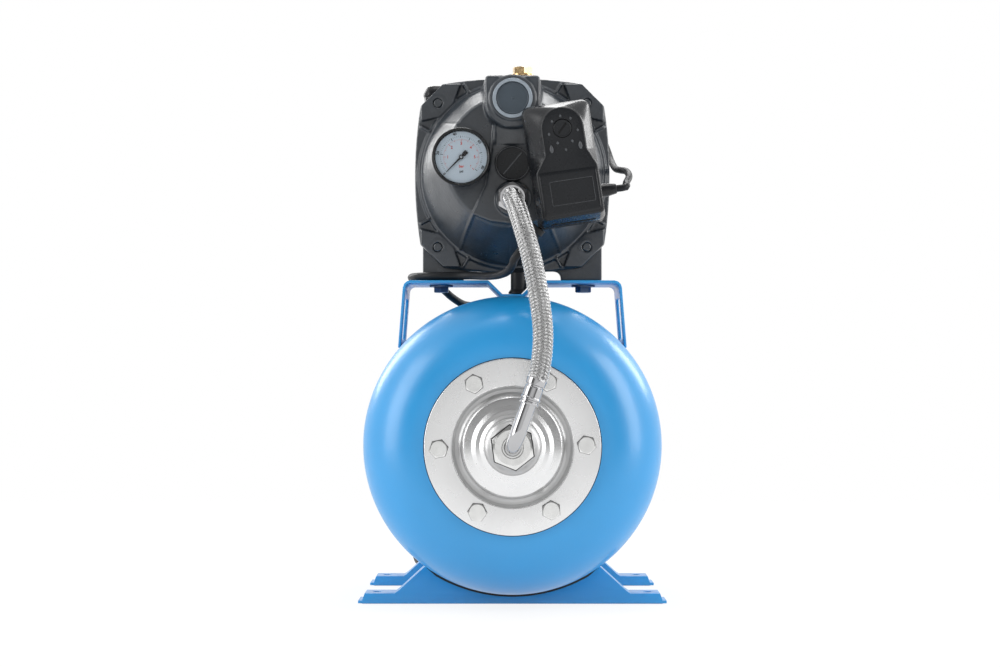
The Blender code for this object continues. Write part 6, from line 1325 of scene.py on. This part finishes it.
def make_gauge():
    """Pressure gauge: enamelled case with a rolled bezel, printed card, window and needle."""
    centre = at(GAUGE_X, GAUGE_FACE, GAUGE_HEIGHT)
    turned_piece("gauge_case_shown", CASE, 144, centre, AWAY, "bezel", soft=0.5, closed=True)
    source = bmesh.new()
    matrix = facing(at(GAUGE_X, BELL_FACE - 2.7, GAUGE_HEIGHT), TOWARDS_VIEWER, 10.0)
    add_hex_head(source, matrix, 14.0, 5.6, bore=6.3)
    make_piece("gauge_stem_hexagon", source, "brass", sharp=24.0)
    dress("brass", "switch_nipple")
    dial = [(0.0, 1.6), (0.0, 23.1), (1.3, 23.1), (1.3, 1.6)]
    turned_piece("gauge_dial_shown", dial, 120, centre, AWAY, "dial", soft=0.1, closed=True)
    make_scale("black_scale", "black_ink", BLACK_TICKS, 101, SCALE_SWEEP_DEG / 101.5, 18.8)
    make_scale("red_scale", "red_ink", RED_TICKS, 61, SCALE_SWEEP_DEG / 60, 16.0)
    make_figures()
    window = [(-2.75, 0.0), (-2.8, 23.0), (-1.75, 23.0), (-1.75, 0.0)]
    turned_piece("gauge_glass_shown", window, 120, centre, AWAY, "glass", soft=0)

    rest = Matrix.Translation(centre) @ Matrix.Rotation(-math.radians(SCALE_START_DEG), 4, "Y")
    source = bmesh.new()
    pointer = [(18.8, 0.22), (3.0, 0.80), (-2.0, 1.15), (-3.0, 1.75), (-6.9, 1.95)]
    outline = pointer + [(a, -b) for a, b in reversed(pointer)]
    add_loft(source, [[spot(rest, a, along, b) for a, b in outline] for along in (-1.1, -0.62)])
    ring = [(0.62, 0.0), (0.62, 2.1), (1.1, 2.1), (1.1, 0.0)]
    add_turned(source, ring, 48, facing(centre, TOWARDS_VIEWER))
    make_piece("gauge_needle_shown", source, "needle", body="needle")
    cap = [(0.9, 0.0), (0.9, 1.25), (1.25, 1.2), (1.45, 0.8), (1.5, 0.0)]
    turned_piece("needle_cap", cap, 40, centre, TOWARDS_VIEWER, "hub", soft=0.1, body="needle")


# Pressure switch

KEYHOLE_X = 2.6
KEYHOLE_UP = 31.0
KEYHOLE_RADIUS = 18.5
SWITCH_HALF_WIDTH = 29.8
SWITCH_HALF_HEIGHT = 51.1
SWITCH_TOP = 56.4
SCREW_RADIUS = 7.8
SCREW_SLOT_DEG = 46.0
LABEL_BOX = (-15.5, -35.1, 22.3, -13.9)
LABEL_RIM = 0.35
SMALL_DROPS = ((-0.2, 10.8), (8.2, 7.6), (-8.1, 7.1), (12.9, -3.4), (-12.2, -3.4), (7.0, -12.3),
               (-5.8, -12.1), (0.5, -18.9))
LARGE_DROPS = ((-11.9, -16.7), (13.3, -16.6))
# Share of the keyhole in the outline, and place, down the faceted slopes
SLOPES = ((0.03, -75.4), (0.10, -77.2), (0.30, -80.9), (0.52, -84.7), (0.74, -88.2), (0.90, -90.6),
          (0.97, -91.8))


def cornered(corners, radii, steps):
    """Outline through the corners, each replaced by an arc of its own radius."""
    outline = []
    count = len(corners)
    for i, (corner, radius) in enumerate(zip(corners, radii)):
        here = Vector(corner)
        before = (Vector(corners[i - 1]) - here).normalized()
        after = (Vector(corners[(i + 1) % count]) - here).normalized()
        half = before.angle(after) / 2
        if half > math.pi / 2 - 1e-3:
            outline.extend([tuple(here)] * (steps + 1))
            continue
        start = here + before * radius / math.tan(half)
        end = here + after * radius / math.tan(half)
        centre = here + (before + after).normalized() * (radius / math.sin(half))
        first = start - centre
        last = end - centre
        turn = first.angle(last)
        for step in range(steps + 1):
            share = step / steps
            arm = (math.sin((1 - share) * turn) * first + math.sin(share * turn) * last) / math.sin(turn)
            outline.append(tuple(centre + arm))
    return outline


def switch_plain(factor=1.0):
    """Outline of the switch at its base, with as many points as the keyhole's."""
    half = SWITCH_HALF_WIDTH
    low = -SWITCH_HALF_HEIGHT
    corners = [(-half, low), (half, low), (half, -4.0), (half, 12.0), (half, SWITCH_TOP),
               (-half, SWITCH_TOP), (-half, 12.0), (-half, -4.0)]
    outline = cornered(corners, [6.0, 6.0, 1.0, 1.0, 7.0, 7.0, 1.0, 1.0], 12)
    return [(a * factor, b * factor) for a, b in outline]


def switch_keyhole(inset=0.0):
    """Keyhole outline of the cover's front: a broad foot and a round head."""
    left = KEYHOLE_X - KEYHOLE_RADIUS + inset
    right = KEYHOLE_X + KEYHOLE_RADIUS - inset
    top = KEYHOLE_UP + KEYHOLE_RADIUS - inset
    corners = [(-25.5 + inset, -46.5 + inset), (28.0 - inset, -45.5 + inset),
               (28.0 - inset, -4.0 - inset / 2), (right, 11.0), (right, top), (left, top), (left, 9.0),
               (-25.5 + inset, -5.0 - inset / 2)]
    dome = (KEYHOLE_RADIUS - inset) * 0.99
    return cornered(corners, [4.0, 4.0, 6.0, 6.0, dome, dome, 6.0, 6.0], 12)


def mixed(first, second, share):
    """Outline between two others."""
    return [(a * (1 - share) + c * share, b * (1 - share) + d * share)
            for (a, b), (c, d) in zip(first, second)]


def on_switch(outline, place):
    """World ring for an outline drawn on the switch's own frame."""
    turn = switch_matrix()
    return [spot(turn, a, place, b) for a, b in outline]


def add_drop(source, across, up, width, height, proud):
    """Small raised mark: a drop-shaped pip standing on the cover's face."""
    rings = []
    for level, factor in ((0.3, 1.0), (-proud * 0.6, 0.86), (-proud, 0.5)):
        outline = []
        for a, b in loop_circle(1.0, 20):
            outline.append((KEYHOLE_X + across + width / 2 * factor * a * (1.0 - 0.35 * max(0.0, b)),
                            KEYHOLE_UP + up + height / 2 * factor * b))
        rings.append(on_switch(outline, SWITCH_FRONT + level))
    add_loft(source, rings)


def make_switch_cover():
    """Hood over the base and the faceted cover, from its plain outline to its keyhole front."""
    source = bmesh.new()
    hood = ((0.97, SWITCH_BACK + 0.4), (0.992, SWITCH_BACK + 1.0), (1.006, SWITCH_BACK - 1.0),
            (1.006, SWITCH_SEAM + 0.5), (0.995, SWITCH_SEAM))
    add_loft(source, [on_switch(switch_plain(factor), place) for factor, place in hood])
    make_piece("switch_base_hood", source, "plastic", sharp=30.0)
    sides = ((0.995, SWITCH_SEAM - 0.3), (1.0, SWITCH_SEAM - 1.0), (0.990, SWITCH_SEAM - 6.5), (0.984, -74.2))
    rings = [on_switch(switch_plain(factor), place) for factor, place in sides]
    near = switch_keyhole(-0.5)
    for share, place in SLOPES:
        rings.append(on_switch(mixed(switch_plain(0.982), near, share), place))
    for inset, place in ((-0.4, -92.5), (0.0, -93.2), (0.55, -93.75), (1.2, -94.0)):
        rings.append(on_switch(switch_keyhole(inset), place))
    source = bmesh.new()
    add_loft(source, rings)
    cover = plain_object("switch_cover_shown", source)
    tools = bmesh.new()
    pocket = disc_outline(KEYHOLE_X, KEYHOLE_UP, SCREW_RADIUS + 0.55, 72)
    add_plate(tools, pocket, (SWITCH_FRONT - 4.0, SWITCH_FRONT + 6.0), on_switch)
    slot = rounded_box(-19.0, -50.6, 20.7, -49.3, 0.5, 0.5, 3)
    add_plate(tools, slot, (SWITCH_SEAM - 9.0, SWITCH_SEAM - 30.0), on_switch)
    worked(cover, [plain_object("switch_tools", tools)])
    shaded(cover, "plastic", 26.0)


def make_switch_label():
    """Raised panel with the label's sunk place and the thin frame round it, without text."""
    rings = []
    for inset, level in ((0.0, 0.25), (1.1, -0.55), (2.2, -0.95)):
        corners = [(-24.0 + inset, -45.0 + inset), (26.6 - inset, -44.0 + inset),
                   (26.6 - inset, -5.0 - inset * 1.9), (-24.0 + inset, -4.2 - inset * 1.9)]
        rings.append(on_switch(cornered(corners, [3.2, 3.2, 2.2, 2.2], 8), SWITCH_FRONT + level))
    source = bmesh.new()
    add_loft(source, rings)
    panel = plain_object("switch_panel", source)
    left, low, right, high = LABEL_BOX
    label = rounded_box(left, low, right, high, 1.0, 1.0, 4)
    tools = bmesh.new()
    add_plate(tools, label, (SWITCH_FRONT - 4.0, SWITCH_FRONT - 0.45), on_switch)
    worked(panel, [plain_object("label_tools", tools)])
    shaded(panel, "plastic", 26.0)
    # Painted highlight: the frame round the sunk label is lighter grey than the panel
    inner = rounded_box(left + LABEL_RIM, low + LABEL_RIM, right - LABEL_RIM, high - LABEL_RIM, 0.7, 0.7, 4)
    source = bmesh.new()
    add_loft(source, [on_switch(label, SWITCH_FRONT - 0.4), on_switch(label, SWITCH_FRONT - 1.12),
                      on_switch(inner, SWITCH_FRONT - 1.12), on_switch(inner, SWITCH_FRONT - 0.4)],
             closed_run=True)
    make_piece("label_frame", source, "mark", sharp=24.0)


def make_switch_screw():
    """Slotted adjusting screw on its own body."""
    centre = spot(switch_matrix(), KEYHOLE_X, SWITCH_FRONT, KEYHOLE_UP)
    head = [(5.0, 0.0), (5.0, SCREW_RADIUS), (0.35, SCREW_RADIUS), (0.0, SCREW_RADIUS - 0.5), (0.25, 6.2),
            (0.25, 0.0)]
    source = bmesh.new()
    add_turned(source, softened(head, 0.2, 2), 72, facing(centre, AWAY))
    screw = plain_object("switch_screw_shown", source)
    slot = rounded_box(-5.6, -0.85, 5.6, 0.85, 0.4, 0.4, 4)
    tools = bmesh.new()
    add_plate(tools, turned_outline(slot, SCREW_SLOT_DEG, KEYHOLE_X, KEYHOLE_UP),
              (SWITCH_FRONT - 2.0, SWITCH_FRONT + 2.6), on_switch)
    worked(screw, [plain_object("screw_tools", tools)])
    shaded(screw, "plastic", 30.0, "adjuster")


def make_switch():
    """Pressure switch: base, faceted cover with its keyhole front, label, marks and adjusting screw."""
    refined("switch_base", "plastic", 0.5, 30.0)
    make_switch_cover()
    make_switch_label()
    # Painted highlight: the raised pips are lighter grey than the cover
    source = bmesh.new()
    for across, up in SMALL_DROPS:
        add_drop(source, across, up, 2.3, 2.9, 1.1)
    for across, up in LARGE_DROPS:
        add_drop(source, across, up, 3.5, 7.4, 1.3)
    make_piece("switch_marks", source, "mark", sharp=40.0)
    make_switch_screw()


# The whole set


def main():
    """Builds the set in the order camera, light, cords, tank, pump, motor, gauge and switch."""
    make_camera()
    make_light()
    make_floor()
    make_mains_lead()
    make_switch_lead()
    make_hose_set()
    make_tank_shell()
    make_tank_flange()
    make_flange_bolts()
    make_air_valve()
    make_feet_and_platform()
    make_saddle_shadow()
    make_platform_bolts()
    make_casing()
    make_outlet()
    make_suction_plug()
    make_casing_bolts()
    make_priming_plug()
    make_bracket()
    make_motor()
    make_gauge()
    make_switch()
    scene.view_settings.view_transform = "Standard"


main()
